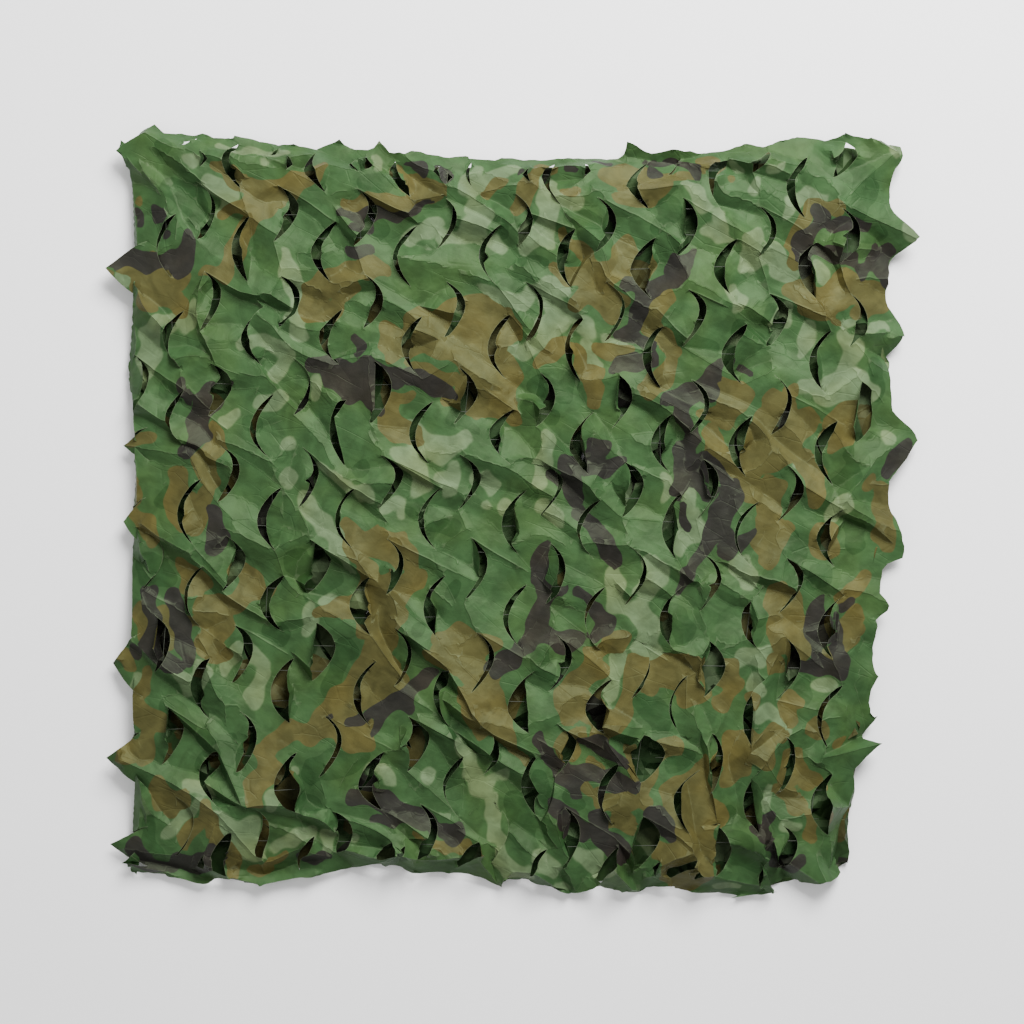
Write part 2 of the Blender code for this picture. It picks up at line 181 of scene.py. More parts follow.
@dataclass(frozen=True)
class FoldedStrip:
    """The back-and-forth section of the strip, and how its sides lean.

    A place on the strip is (t, y): t runs along the cloth from the raw end of the
    lowest layer, and y along the folds.
    """

    low_z: float = 0.0011
    mid_z: float = 0.0140
    top_z: float = 0.0350
    left_x: float = -0.466
    right_x: float = 0.462
    overhang: float = 0.012
    lean_y: tuple[float, ...] = (-0.480, -0.320, -0.120, 0.050, 0.250, 0.480)
    lean_left: tuple[float, ...] = (0.985, 1.018, 1.012, 1.008, 1.008, 1.000)
    lean_right: tuple[float, ...] = (0.875, 0.930, 0.970, 1.005, 1.002, 1.005)

    @property
    def run(self) -> float:
        """Width of one layer between its folds."""
        return self.right_x - self.left_x

    @property
    def right_radius(self) -> float:
        """Radius of the lower fold, at the right."""
        return (self.mid_z - self.low_z) / 2

    @property
    def left_radius(self) -> float:
        """Radius of the upper fold, at the left."""
        return (self.top_z - self.mid_z) / 2

    @property
    def right_bend(self) -> float:
        """Where the lower fold starts."""
        return self.run

    @property
    def mid_start(self) -> float:
        """Where the middle layer starts."""
        return self.run + math.pi * self.right_radius

    @property
    def left_bend(self) -> float:
        """Where the upper fold starts."""
        return self.mid_start + self.run

    @property
    def top_start(self) -> float:
        """Where the top layer starts."""
        return self.left_bend + math.pi * self.left_radius

    @property
    def end(self) -> float:
        """Where the strip's plain right edge ends it."""
        return self.top_start + self.run + self.overhang

    def chart_x(self, t: np.ndarray) -> np.ndarray:
        """Place across the top layer of a place along the strip."""
        return t - self.top_start + self.left_x

    def strip_t(self, x: float) -> float:
        """Place along the strip of a place across the top layer."""
        return x - self.left_x + self.top_start

    def place(self, t: np.ndarray, y: np.ndarray) -> np.ndarray:
        """Fold places on the strip into the bundle.

        Args:
            t: Places along the strip.
            y: Places along the folds.

        Returns:
            Their places in the bundle, one row each.
        """
        right = (t - self.right_bend) / self.right_radius
        left = (t - self.left_bend) / self.left_radius
        below = [t < end for end in (self.right_bend, self.mid_start, self.left_bend,
                                     self.top_start)]
        x = np.select(below, [self.left_x + t,
                              self.right_x + self.right_radius * np.sin(right),
                              self.right_x - (t - self.mid_start),
                              self.left_x - self.left_radius * np.sin(left)],
                      self.left_x + t - self.top_start)
        z = np.select(below, [np.full_like(t, self.low_z),
                              self.low_z + self.right_radius * (1 - np.cos(right)),
                              np.full_like(t, self.mid_z),
                              self.mid_z + self.left_radius * (1 - np.cos(left))],
                      self.top_z)
        lean = np.where(x > 0, np.interp(y, self.lean_y, self.lean_right),
                        np.interp(y, self.lean_y, self.lean_left))
        return np.column_stack([x * lean, y, z])


@dataclass(frozen=True)
class Gathering:
    """How much longer the flat cloth is than the strip it is gathered into.

    The strip is drawn out along one slanting direction, which opens the slits, and
    gathered across it, which raises creases along it.
    """

    slant: float = math.radians(-25.0)
    drawn: float = 1.050
    gathered: float = 0.915

    def flat(self, t: np.ndarray, y: np.ndarray) -> np.ndarray:
        """Flat size of the cloth: where places on the strip were when it was cut.

        Args:
            t: Places along the strip.
            y: Places along the folds.

        Returns:
            Their flat places, one row each.
        """
        c, s = math.cos(self.slant), math.sin(self.slant)
        along = (t * c + y * s) / self.drawn
        across = (-t * s + y * c) / self.gathered
        return np.column_stack([along * c - across * s, along * s + across * c])


# ---------------------------------------------------------------------------
# Cutting the cloth
# ---------------------------------------------------------------------------


@dataclass(frozen=True)
class Slit:
    """One slit: its bulge, its row and column, and its line on the strip."""

    side: Side
    row: int
    column: int
    line: np.ndarray


@dataclass(frozen=True)
class SlitLattice:
    """Rows of slits that bulge right and left in turn, slightly leaning."""

    column_pitch: float = 0.1004
    row_pitch: float = 0.1106
    row_drift: float = 0.0100
    column_drop: float = 0.0042
    first: tuple[float, float] = (-0.3688, 0.3844)
    partner: tuple[float, float] = (0.0188, -0.0538)
    shift: float = 0.0040
    bulge: float = 0.75
    rows: tuple[int, int] = (-2, 10)
    last_column: int = 10
    seed: int = 3
    band: tuple[tuple[Side, float, float], ...] = (
        (Side.LEFT, -0.407, 0.449), (Side.RIGHT, -0.376, 0.441), (Side.LEFT, -0.305, 0.445),
        (Side.RIGHT, -0.272, 0.440), (Side.LEFT, -0.208, 0.436), (Side.RIGHT, -0.176, 0.439),
        (Side.LEFT, -0.099, 0.428), (Side.RIGHT, -0.074, 0.424), (Side.LEFT, 0.014, 0.424),
        (Side.RIGHT, 0.098, 0.428), (Side.LEFT, 0.190, 0.432), (Side.RIGHT, 0.279, 0.438),
        (Side.LEFT, 0.318, 0.440), (Side.LEFT, -0.392, -0.440), (Side.RIGHT, -0.222, -0.430),
        (Side.LEFT, -0.144, -0.428), (Side.RIGHT, -0.076, -0.434), (Side.LEFT, 0.062, -0.452),
        (Side.RIGHT, 0.124, -0.450), (Side.LEFT, 0.196, -0.444), (Side.RIGHT, 0.258, -0.452),
        (Side.LEFT, 0.290, -0.446), (Side.RIGHT, 0.344, -0.450))
    band_half: tuple[float, float] = (0.009, 0.010)
    short_row: int = 99
    upper: dict[Side, tuple[float, float]] = field(default_factory=lambda: {
        Side.RIGHT: (-0.024, 0.031), Side.LEFT: (0.031, 0.037)})
    lower: dict[Side, tuple[float, float]] = field(default_factory=lambda: {
        Side.RIGHT: (-0.029, -0.041), Side.LEFT: (0.025, -0.040)})

    def cells(self, strip: FoldedStrip) -> Iterator[tuple[int, int]]:
        """Go through every cell that may lie on the strip.

        Args:
            strip: The folded strip.

        Yields:
            Its row and column.
        """
        first = -math.ceil(strip.top_start / self.column_pitch) - 2
        for row in range(*self.rows):
            for column in range(first, self.last_column + 1):
                yield row, column

    def corner(self, row: int, column: int) -> tuple[float, float]:
        """Vertex of the slit that bulges right, in top-layer places."""
        x = self.first[0] + column * self.column_pitch + row * self.row_drift
        return x, self.first[1] - row * self.row_pitch - column * self.column_drop

    def slits(self, strip: FoldedStrip, step: float) -> Iterator[Slit]:
        """Yield every slit that may lie on the strip.

        Args:
            strip: The folded strip.
            step: Distance between the points of a slit's line.

        Yields:
            The slits, each with its line in strip places.
        """
        rng = random.Random(self.seed)
        for row, column in self.cells(strip):
            x, y = self.corner(row, column)
            for side in Side:
                dx, dy = self.partner if side is Side.LEFT else (0.0, 0.0)
                vertex = (x + dx + rng.uniform(-self.shift, self.shift),
                          y + dy + rng.uniform(-self.shift, self.shift))
                line = self._line(side, vertex, step)
                line[:, 0] += strip.top_start - strip.left_x
                yield Slit(side, row, column, line)

    def short_slits(self, strip: FoldedStrip, step: float) -> Iterator[Slit]:
        """Draw the short slits of the top layer's turned-down edges.

        Args:
            strip: The folded strip.
            step: Distance between the points of a slit's line.

        Yields:
            The slits.
        """
        for index, (side, x, y) in enumerate(self.band):
            out = 1.0 if side is Side.RIGHT else -1.0
            half_x, half_y = self.band_half
            ends = np.array([[x - out * half_x, y + half_y], [x, y],
                             [x - out * half_x, y - half_y]])
            part = np.linspace(0.0, 2.0, max(4, round(4 * half_y / step)) + 1)
            line = np.column_stack([np.interp(part, range(3), ends[:, k]) for k in range(2)])
            line[:, 0] += strip.top_start - strip.left_x
            yield Slit(side, self.short_row, index, line)

    def _line(self, side: Side, vertex: tuple[float, float], step: float) -> np.ndarray:
        """Draw the rounded line of a slit through its vertex.

        Args:
            side: Which way it bulges.
            vertex: Its farthest place.
            step: Distance between its points.

        Returns:
            Its points, in even steps.
        """
        middle = np.array(vertex)
        start = middle + self.upper[side]
        end = middle + self.lower[side]
        pull = middle + (middle - (start + end) / 2) * self.bulge
        part = np.linspace(0.0, 1.0, 40)[:, None]
        curve = (1 - part) ** 2 * start + 2 * part * (1 - part) * pull + part ** 2 * end
        length = np.r_[0.0, np.cumsum(np.linalg.norm(np.diff(curve, axis=0), axis=1))]
        places = np.linspace(0.0, length[-1], max(4, round(length[-1] / step)) + 1)
        return np.column_stack([np.interp(places, length, curve[:, 0]),
                                np.interp(places, length, curve[:, 1])])


@dataclass(frozen=True)
class Crease:
    """One straight crease on the strip, and which way it is set: up or down."""

    start: np.ndarray
    end: np.ndarray
    sign: float

    def line(self, step: float) -> np.ndarray:
        """Draw the crease.

        Args:
            step: Distance between its points, about.

        Returns:
            The points along it.
        """
        count = max(1, round(float(np.linalg.norm(self.end - self.start)) / step))
        part = np.linspace(0.0, 1.0, count + 1)[:, None]
        return self.start * (1 - part) + self.end * part


@dataclass(frozen=True)
class CreaseMap:
    """Straight creases that run between the slits, mostly down to the right.

    Each course names where it starts and ends: the slit's side, how many rows and
    columns on, and how far down the slit (0 its upper tip, 1 its lower tip). Its last
    number is the share of the slits that have it.
    """

    courses: tuple[tuple[tuple[Side, int, int, float], tuple[Side, int, int, float],
                         float], ...] = (
        ((Side.RIGHT, 0, 0, 0.0), (Side.LEFT, 0, 0, 0.0), 0.60),
        ((Side.RIGHT, 0, 0, 0.0), (Side.RIGHT, 0, 1, 0.7), 0.45),
        ((Side.RIGHT, 0, 0, 1.0), (Side.LEFT, 0, 0, 0.45), 0.40),
        ((Side.RIGHT, 0, 0, 1.0), (Side.LEFT, 0, 0, 0.8), 0.50),
        ((Side.LEFT, 0, 0, 1.0), (Side.RIGHT, 1, 1, 0.5), 0.35),
        ((Side.LEFT, 0, 0, 1.0), (Side.RIGHT, 1, 1, 0.8), 0.55),
        ((Side.LEFT, 0, 0, 0.0), (Side.RIGHT, 0, 1, 0.9), 0.25),
        ((Side.RIGHT, 0, 0, 0.4), (Side.LEFT, 0, 0, 0.0), 0.30),
        ((Side.RIGHT, 0, 0, 1.0), (Side.RIGHT, 1, 0, 0.0), 0.25),
        ((Side.LEFT, 0, 0, 0.0), (Side.RIGHT, 0, 1, 0.0), 0.30),
        ((Side.LEFT, 0, 0, 1.0), (Side.LEFT, 1, 0, 0.0), 0.20),
        ((Side.LEFT, 0, 0, 0.0), (Side.LEFT, 0, 0, 1.0), 0.25),
        ((Side.RIGHT, 0, 0, 0.0), (Side.RIGHT, 0, 0, 1.0), 0.20),
        ((Side.LEFT, 0, 0, 0.5), (Side.RIGHT, 0, 1, 1.0), 0.40),
        ((Side.RIGHT, 0, 1, 0.5), (Side.LEFT, 0, 0, 0.0), 0.25),
    )
    seed: int = 17

    def creases(self, slits: list[Slit]) -> list[Crease]:
        """Choose the creases between the slits that lie on the cloth.

        Args:
            slits: The slits on the cloth.

        Returns:
            The creases.
        """
        rng = random.Random(self.seed)
        lines = {(slit.side, slit.row, slit.column): slit.line for slit in slits}
        chosen = []
        for slit in slits:
            for start, end, share in self.courses:
                if slit.side is not start[0]:
                    continue
                kept = rng.random() < share
                sign = rng.choice((-1.0, 1.0))
                ends = []
                for side, rows, columns, part in (start, end):
                    line = lines.get((side, slit.row + rows, slit.column + columns))
                    if line is not None:
                        ends.append(line[round(part * (len(line) - 1))])
                if kept and len(ends) == 2:
                    chosen.append(Crease(ends[0], ends[1], sign))
        return chosen


@dataclass
class CutCloth:
    """The cut strip as triangles: places on the strip, creases and slits."""

    strip_places: np.ndarray
    faces: np.ndarray
    creased: np.ndarray
    slits: list[Slit]
    creases: list[Crease]

    @property
    def t(self) -> np.ndarray:
        """Places along the strip."""
        return self.strip_places[:, 0]

    @property
    def y(self) -> np.ndarray:
        """Places along the folds."""
        return self.strip_places[:, 1]

    def beside_cut(self, place: np.ndarray, side: float) -> Iterator[int]:
        """Find the points of one side of a cut.

        Args:
            place: A place on the cut.
            side: Positive for the side whose cloth lies right of it, negative left.

        Yields:
            Indices of the points there.
        """
        near = np.linalg.norm(self.strip_places - place, axis=1) < SAME_PLACE
        for index in np.flatnonzero(near):
            corners = self.faces[(self.faces == index).any(axis=1)]
            around = self.strip_places[corners].mean(axis=1)[:, 0].mean()
            if (around - place[0]) * side > 0:
                yield index


def taken_apart(body: bmesh.types.BMesh) -> tuple[np.ndarray, np.ndarray]:
    """Take a mesh apart, which frees it.

    Args:
        body: The mesh, of triangles.

    Returns:
        Corners of its triangles, and ends of its creased edges.
    """
    triangles = np.array([[vert.index for vert in face.verts] for face in body.faces])
    creased = np.array([[vert.index for vert in edge.verts] for edge in body.edges
                        if not edge.smooth])
    body.free()
    return triangles, creased


@dataclass(frozen=True)
class LeafPoint:
    """A leaf point of a cut edge: its place, reach, half width, lean and fullness."""

    at: float
    reach: float
    half: float
    lean: float = 0.0
    full: float = 1.0

    @property
    def tip(self) -> float:
        """Place of the tip along the edge."""
        return self.at + self.lean

    def stand(self, place: float) -> float:
        """How far the edge stands out at a place along it."""
        side = self.half + (self.lean if place < self.tip else -self.lean)
        return self.reach * max(0.0, 1.0 - (abs(place - self.tip) / side) ** self.full)


@dataclass(frozen=True)
class FoldTongue:
    """A tongue cut at the left fold, which sticks straight out of it."""

    y: float
    reach: float
    half: float
    lift: float


@dataclass(frozen=True)
class ClothCutter:
    """Cuts the strip: its raw outline, its slits and its triangles."""

    strip: FoldedStrip
    lattice: SlitLattice
    creases: CreaseMap = field(default_factory=CreaseMap)
    weld: float = 0.0005
    top_step: float = 0.0084
    low_step: float = 0.0100
    edge_step: float = 0.0070
    jitter: float = 0.22
    seed: int = 8
    edge_x: tuple[float, ...] = (
        -0.480, -0.420, -0.360, -0.210, -0.030, 0.080, 0.230, 0.320, 0.400, 0.480)
    edge_top: tuple[float, ...] = (
        0.455, 0.470, 0.466, 0.455, 0.438, 0.443, 0.450, 0.460, 0.466, 0.456)
    edge_bottom: tuple[float, ...] = (
        -0.448, -0.456, -0.470, -0.447, -0.456, -0.473, -0.472, -0.484, -0.462, -0.440)
    spare: float = 0.010
    lower_inset: float = 0.008
    margin: float = 0.006
    right_margin: float = 0.026
    least: float = 0.30
    apart: float = 0.010
    corner_y: float = 0.33
    corner_t: tuple[float, float] = (0.010, 0.014)
    waver: float = 0.001
    fine_before: float = 0.04
    clear: float = 0.6
    half_y: float = 0.5
    tongue_root: float = 0.006
    tongue_curve: float = 1.4
    top_points: tuple[LeafPoint, ...] = (
        LeafPoint(-0.458, 0.022, 0.022, 0.004), LeafPoint(-0.392, 0.007, 0.016, 0.010),
        LeafPoint(-0.338, 0.009, 0.018, -0.010), LeafPoint(-0.280, 0.006, 0.014, 0.006),
        LeafPoint(-0.225, 0.014, 0.016, 0.008), LeafPoint(-0.170, 0.018, 0.010, 0.003),
        LeafPoint(-0.115, 0.006, 0.018, -0.008), LeafPoint(-0.060, 0.005, 0.016, 0.006),
        LeafPoint(-0.005, 0.007, 0.018, -0.008), LeafPoint(0.055, 0.005, 0.020, 0.008),
        LeafPoint(0.156, 0.020, 0.020, -0.012), LeafPoint(0.195, 0.005, 0.018, 0.006),
        LeafPoint(0.285, 0.007, 0.022, 0.008), LeafPoint(0.345, 0.006, 0.016, -0.006),
        LeafPoint(0.412, 0.012, 0.026, 0.004))
    right_points: tuple[LeafPoint, ...] = (
        LeafPoint(0.452, 0.014, 0.016, 0.004, 2.0), LeafPoint(0.345, 0.036, 0.034, 0.0, 0.9),
        LeafPoint(0.224, 0.018, 0.034, -0.004, 1.8), LeafPoint(0.080, 0.034, 0.042, 0.010, 1.3),
        LeafPoint(-0.012, 0.026, 0.056, -0.046, 1.2), LeafPoint(-0.118, 0.014, 0.016, 0.0, 1.5),
        LeafPoint(-0.206, 0.008, 0.020), LeafPoint(-0.250, 0.014, 0.018, -0.006),
        LeafPoint(-0.300, 0.022, 0.024, 0.010, 1.2))
    bottom_points: tuple[LeafPoint, ...] = (
        LeafPoint(-0.400, 0.005, 0.020, 0.008), LeafPoint(-0.315, 0.006, 0.020, -0.006),
        LeafPoint(-0.255, 0.006, 0.018, 0.006), LeafPoint(-0.130, 0.005, 0.018, 0.006),
        LeafPoint(-0.020, 0.005, 0.018, 0.008), LeafPoint(0.075, 0.005, 0.030, 0.004),
        LeafPoint(0.170, 0.005, 0.018, -0.006), LeafPoint(0.250, 0.005, 0.018, 0.008),
        LeafPoint(0.320, 0.006, 0.026, -0.006))
    tongues: tuple[FoldTongue, ...] = (
        FoldTongue(0.306, 0.044, 0.034, 0.004), FoldTongue(0.083, 0.022, 0.022, -0.004),
        FoldTongue(-0.012, 0.022, 0.028, 0.002), FoldTongue(-0.190, 0.036, 0.040, -0.006),
        FoldTongue(-0.308, 0.043, 0.034, 0.003), FoldTongue(-0.418, 0.040, 0.026, -0.008))

    def tongue_line(self, tongue: FoldTongue) -> np.ndarray:
        """Draw the pointed line that a fold tongue is cut along.

        Args:
            tongue: The tongue.

        Returns:
            The line's points on the strip.
        """
        root = self.strip.top_start + self.tongue_root
        length = tongue.reach + self.tongue_root
        count = max(3, round(math.hypot(length, tongue.half) / self.top_step))
        part = np.linspace(0.0, 1.0, count + 1)
        side = np.column_stack([root - length * part,
                                tongue.half * (1 - part ** self.tongue_curve)])
        back = side[-2::-1] * [1.0, -1.0]
        return np.concatenate([side, back]) + [0.0, tongue.y]

    def cut(self) -> CutCloth:
        """Cut the cloth.

        Returns:
            The cut cloth, split open along its slits.
        """
        points = self._outline()
        count = len(points)
        edges = [(i, (i + 1) % count) for i in range(count)]
        first_cut = len(edges)
        tongues = [self.tongue_line(tongue) for tongue in self.tongues]
        slits = self._kept(self.lattice.slits(self.strip, self.top_step), tongues)
        slits += self._kept(self.lattice.short_slits(self.strip, self.top_step / 2),
                            [slit.line for slit in slits])
        for line in [slit.line for slit in slits] + tongues:
            self._draw(line, points, edges)
        first_crease = len(edges)
        creases = self.creases.creases(slits)
        for crease in creases:
            step = self.top_step if crease.end[0] > self.strip.left_bend else self.low_step
            self._draw(crease.line(step), points, edges)
        last = len(edges)
        points += self._fill(points)
        places, out_edges, faces, _, from_edges, _ = delaunay_2d_cdt(
            [Vector(point) for point in points], edges, [], 1, self.weld)
        cuts, folds = set(), set()
        for edge, sources in zip(out_edges, from_edges):
            if any(first_cut <= source < first_crease for source in sources):
                cuts.add(tuple(sorted(edge)))
            elif any(first_crease <= source < last for source in sources):
                folds.add(tuple(sorted(edge)))
        spots = np.array([tuple(place) for place in places])
        return self._split(spots, faces, cuts, folds, slits, creases)

    @staticmethod
    def _draw(line: np.ndarray, points: list[tuple[float, float]],
              edges: list[tuple[int, int]]) -> None:
        """Add a line to the drawing.

        Args:
            line: Points along it.
            points: The drawing's points.
            edges: The drawing's edges.
        """
        first = len(points)
        points += [tuple(place) for place in line]
        edges += [(first + i, first + i + 1) for i in range(len(line) - 1)]

    def _edge_y(self, t: float) -> tuple[float, float]:
        """Find the raw bottom and top edges of the cloth.

        Args:
            t: Place along the strip.

        Returns:
            The bottom and the top edge there.
        """
        x = float(self.strip.place(np.array([t]), np.zeros(1))[0, 0])
        inset = -self.spare if t > self.strip.left_bend else self.lower_inset
        low = float(np.interp(x, self.edge_x, self.edge_bottom)) + inset
        high = float(np.interp(x, self.edge_x, self.edge_top)) - inset
        if t > self.strip.left_bend:
            place = float(self.strip.chart_x(t))
            low -= sum(point.stand(place) for point in self.bottom_points)
            high += sum(point.stand(place) for point in self.top_points)
        return low, high

    def inside(self, t: np.ndarray, y: np.ndarray) -> np.ndarray:
        """How far inside the top layer's top, bottom and right edges places lie.

        Args:
            t: Places along the strip.
            y: Places along the folds.

        Returns:
            The distance of each from the nearest edge.
        """
        x = self.strip.chart_x(t)
        return np.minimum(np.minimum(np.interp(x, self.edge_x, self.edge_top) - y,
                                     y - np.interp(x, self.edge_x, self.edge_bottom)),
                          self.strip.end - t)

    def _outline(self) -> list[tuple[float, float]]:
        """Draw the raw outline of the strip, in even steps, with a slight waver.

        Returns:
            Its points, in order.
        """
        rng = random.Random(self.seed)
        step = self.edge_step
        count = round(self.strip.end / step)
        run = [self.strip.end * i / count for i in range(count + 1)]
        bottom, top = [], []
        for t in run:
            low, high = self._edge_y(t)
            bottom.append((t, low + rng.uniform(-self.waver, self.waver)))
            top.append((t, high + rng.uniform(-self.waver, self.waver)))
        ends = []
        for t in (run[-1], run[0]):
            low, high = self._edge_y(t)
            rows = round((high - low) / step)
            ends.append([(t + rng.uniform(-self.waver, self.waver),
                          low + (high - low) * i / rows) for i in range(1, rows)])
        ends[0] = [(t + sum(point.stand(y) for point in self.right_points), y)
                   for t, y in ends[0]]
        return bottom + ends[0] + top[::-1] + ends[1][::-1]

    def _kept(self, slits: Iterator[Slit], lines: list[np.ndarray]) -> list[Slit]:
        """The slits that lie on the cloth, trimmed to it and clear of some lines.

        Args:
            slits: Slits that may lie on it.
            lines: Lines that they may not come near.

        Returns:
            The slits that stay.
        """
        trimmed = [slit for slit in map(self._trim, slits) if slit is not None]
        return [slit for slit in trimmed
                if min(np.linalg.norm(slit.line[:, None] - line[None], axis=2).min()
                       for line in lines) > self.apart]

    def _trim(self, slit: Slit) -> Slit | None:
        """Cut a slit short where it leaves the cloth.

        Args:
            slit: The slit.

        Returns:
            The part that lies on the cloth, or None where little of it does.
        """
        kept = []
        for t, y in slit.line:
            low, high = self._edge_y(t)
            if (self.margin < t < self.strip.end - self.right_margin
                    and low + self.margin < y < high - self.margin):
                kept.append((t, y))
        t, y = slit.line[len(slit.line) // 2]
        before, after = self.corner_t
        corner = abs(y) > self.corner_y and (
            self.strip.left_bend - before < t < self.strip.top_start + after)
        if corner or len(kept) < self.least * len(slit.line):
            return None
        return Slit(slit.side, slit.row, slit.column, np.array(kept))

    def _fill(self, taken: list[tuple[float, float]]) -> list[tuple[float, float]]:
        """Fill in between the outline and the slits, in jittered offset rows.

        Args:
            taken: Points of the outline, the slits and the creases.

        Returns:
            The points between them.
        """
        rng = random.Random(self.seed + 1)
        tree = tree_of(taken)
        filled = []
        widest = self.strip.end + max(point.reach for point in self.right_points)
        fine_start = self.strip.left_bend - self.fine_before
        for start, end, step in ((0.0, fine_start, self.low_step),
                                 (fine_start, widest, self.top_step)):
            row_step = step * math.sqrt(3) / 2
            for row in range(int(2 * self.half_y / row_step)):
                y = -self.half_y + row * row_step
                t = start + (step / 2 if row % 2 else step)
                while t < end:
                    place = (t + rng.uniform(-self.jitter, self.jitter) * step,
                             y + rng.uniform(-self.jitter, self.jitter) * step)
                    low, high = self._edge_y(place[0])
                    reach = sum(point.stand(place[1]) for point in self.right_points)
                    clear = (low + step / 2 < place[1] < high - step / 2
                             and place[0] < self.strip.end + reach - step / 2)
                    if clear and tree.find((*place, 0.0))[2] > self.clear * step:
                        filled.append(place)
                    t += step
        return filled

    def _split(self, places: np.ndarray, faces: list[list[int]],
               cuts: set[tuple[int, int]], folds: set[tuple[int, int]],
               slits: list[Slit], creases: list[Crease]) -> CutCloth:
        """Open the cloth along its slits.

        Args:
            places: Places of the points on the strip.
            faces: The triangles.
            cuts: Edges along the slits.
            folds: Edges along the creases.
            slits: The slits.
            creases: The creases.

        Returns:
            The cut cloth.
        """
        body = bmesh.new()
        verts = [body.verts.new((t, y, 0.0)) for t, y in places]
        body.verts.index_update()
        for face in faces:
            body.faces.new([verts[i] for i in face])
        lines = []
        for edge in body.edges:
            ends = tuple(sorted((edge.verts[0].index, edge.verts[1].index)))
            edge.smooth = ends not in folds
            if ends in cuts:
                lines.append(edge)
        bmesh.ops.split_edges(body, edges=lines)
        loose = [vert for vert in body.verts if not vert.link_faces]
        bmesh.ops.delete(body, geom=loose, context="VERTS")
        for face in body.faces:
            if face.normal.z < 0:
                face.normal_flip()
        body.verts.index_update()
        spots = np.array([vert.co[:2] for vert in body.verts])
        return CutCloth(spots, *taken_apart(body), slits, creases)


# ---------------------------------------------------------------------------
# Gathering and relaxing
# ---------------------------------------------------------------------------


class Pull:
    """Sums what every link asks of its two ends."""

    def __init__(self, a: np.ndarray, b: np.ndarray) -> None:
        """Sort the ends of the links.

        Args:
            a: First end of each link.
            b: Second end of each link.
        """
        ends = np.concatenate([a, b])
        self.order = np.argsort(ends, kind="stable")
        ends = ends[self.order]
        self.where, self.starts = np.unique(ends, return_index=True)
        self.count = np.diff(np.append(self.starts, len(ends))).astype(np.float32)[:, None]

    def mean(self, moves: np.ndarray) -> np.ndarray:
        """Mean move of each linked point.

        Args:
            moves: What each link asks of its first end; its second moves back.

        Returns:
            One row for each point in where.
        """
        both = np.concatenate([moves, -moves])[self.order]
        return np.add.reduceat(both, self.starts, axis=0) / self.count


@dataclass(frozen=True)
class Relaxer:
    """Thin coated cloth: it hardly stretches, and bends easily once creased."""

    stiffness: float = 0.30
    creased_stiffness: float = 0.010
    crease_ratio: float = 0.93
    set_stiffness: float = 0.12
    set_ratio: float = 0.91
    over: float = 1.25
    bend_over: float = 0.75
    haste: float = 2.0
    damping: float = 0.93
    weight: float = 0.5e-5
    rounds: int = 4

    def settle(self, places: np.ndarray, flat: np.ndarray, cloth: CutCloth,
               held: np.ndarray, goals: np.ndarray, limits: np.ndarray,
               steps: int) -> np.ndarray:
        """Move the cloth to its held points and let the rest find its shape.

        Args:
            places: Where every point starts.
            flat: Where it was when the cloth was cut.
            cloth: The cloth, with its triangles and creases.
            held: Indices of the points that are held.
            goals: Where they are drawn to.
            limits: Lowest and highest z of every point.
            steps: Time steps.

        Returns:
            Where every point ends up.
        """
        links, bends, creased = self._links(cloth.faces, cloth.creased)
        a, b = links.T
        c, d = bends.T
        link_size = np.linalg.norm(flat[a] - flat[b], axis=1).astype(np.float32)
        bend_size = np.linalg.norm(flat[c] - flat[d], axis=1).astype(np.float32)
        bend_size = np.where(creased, bend_size * np.float32(self.set_ratio), bend_size)
        stiff = np.where(creased, self.set_stiffness, self.stiffness).astype(np.float32)
        soft = np.where(creased, self.set_stiffness, self.creased_stiffness)
        soft = soft.astype(np.float32)
        link_pull, bend_pull = Pull(a, b), Pull(c, d)
        now = places.astype(np.float32)
        before = now.copy()
        start = now[held].copy()
        goals = goals.astype(np.float32)
        low, high = limits.T.astype(np.float32)
        for step in range(steps):
            speed = (now - before) * self.damping
            before = now.copy()
            now = now + speed
            now[:, 2] -= self.weight
            part = min(1.0, self.haste * (step + 1) / steps)
            for _ in range(self.rounds):
                apart, size = self._apart(now, c, d)
                give = np.where(size > self.crease_ratio * bend_size, stiff, soft)
                share = (bend_size - size) / size * self.bend_over * give
                now[bend_pull.where] += bend_pull.mean(apart * share[:, None])
                apart, size = self._apart(now, a, b)
                share = (link_size - size) / size * self.over
                now[link_pull.where] += link_pull.mean(apart * share[:, None])
                now[held] = start + (goals - start) * part
                np.clip(now[:, 2], low, high, out=now[:, 2])
        return now

    @staticmethod
    def _apart(places: np.ndarray, one: np.ndarray,
               two: np.ndarray) -> tuple[np.ndarray, np.ndarray]:
        """From the second to the first point of each pair, and how far that is."""
        apart = places[one] - places[two]
        return apart, np.sqrt(np.einsum("ij,ij->i", apart, apart)) + LEAST_SIZE

    @staticmethod
    def _links(faces: np.ndarray,
               creased: np.ndarray) -> tuple[np.ndarray, np.ndarray, np.ndarray]:
        """Find what the cloth hangs together by.

        Args:
            faces: The triangles.
            creased: Ends of the creased edges.

        Returns:
            The edges, the far corners of each pair of triangles, and which pairs
            are creased.
        """
        order, again, folded = paired_edges(faces, creased)
        far = np.concatenate([faces[:, 2], faces[:, 0], faces[:, 1]])[order]
        links = np.delete(edge_ends(faces)[order], again, axis=0)
        return links, np.column_stack([far[again - 1], far[again]]), folded


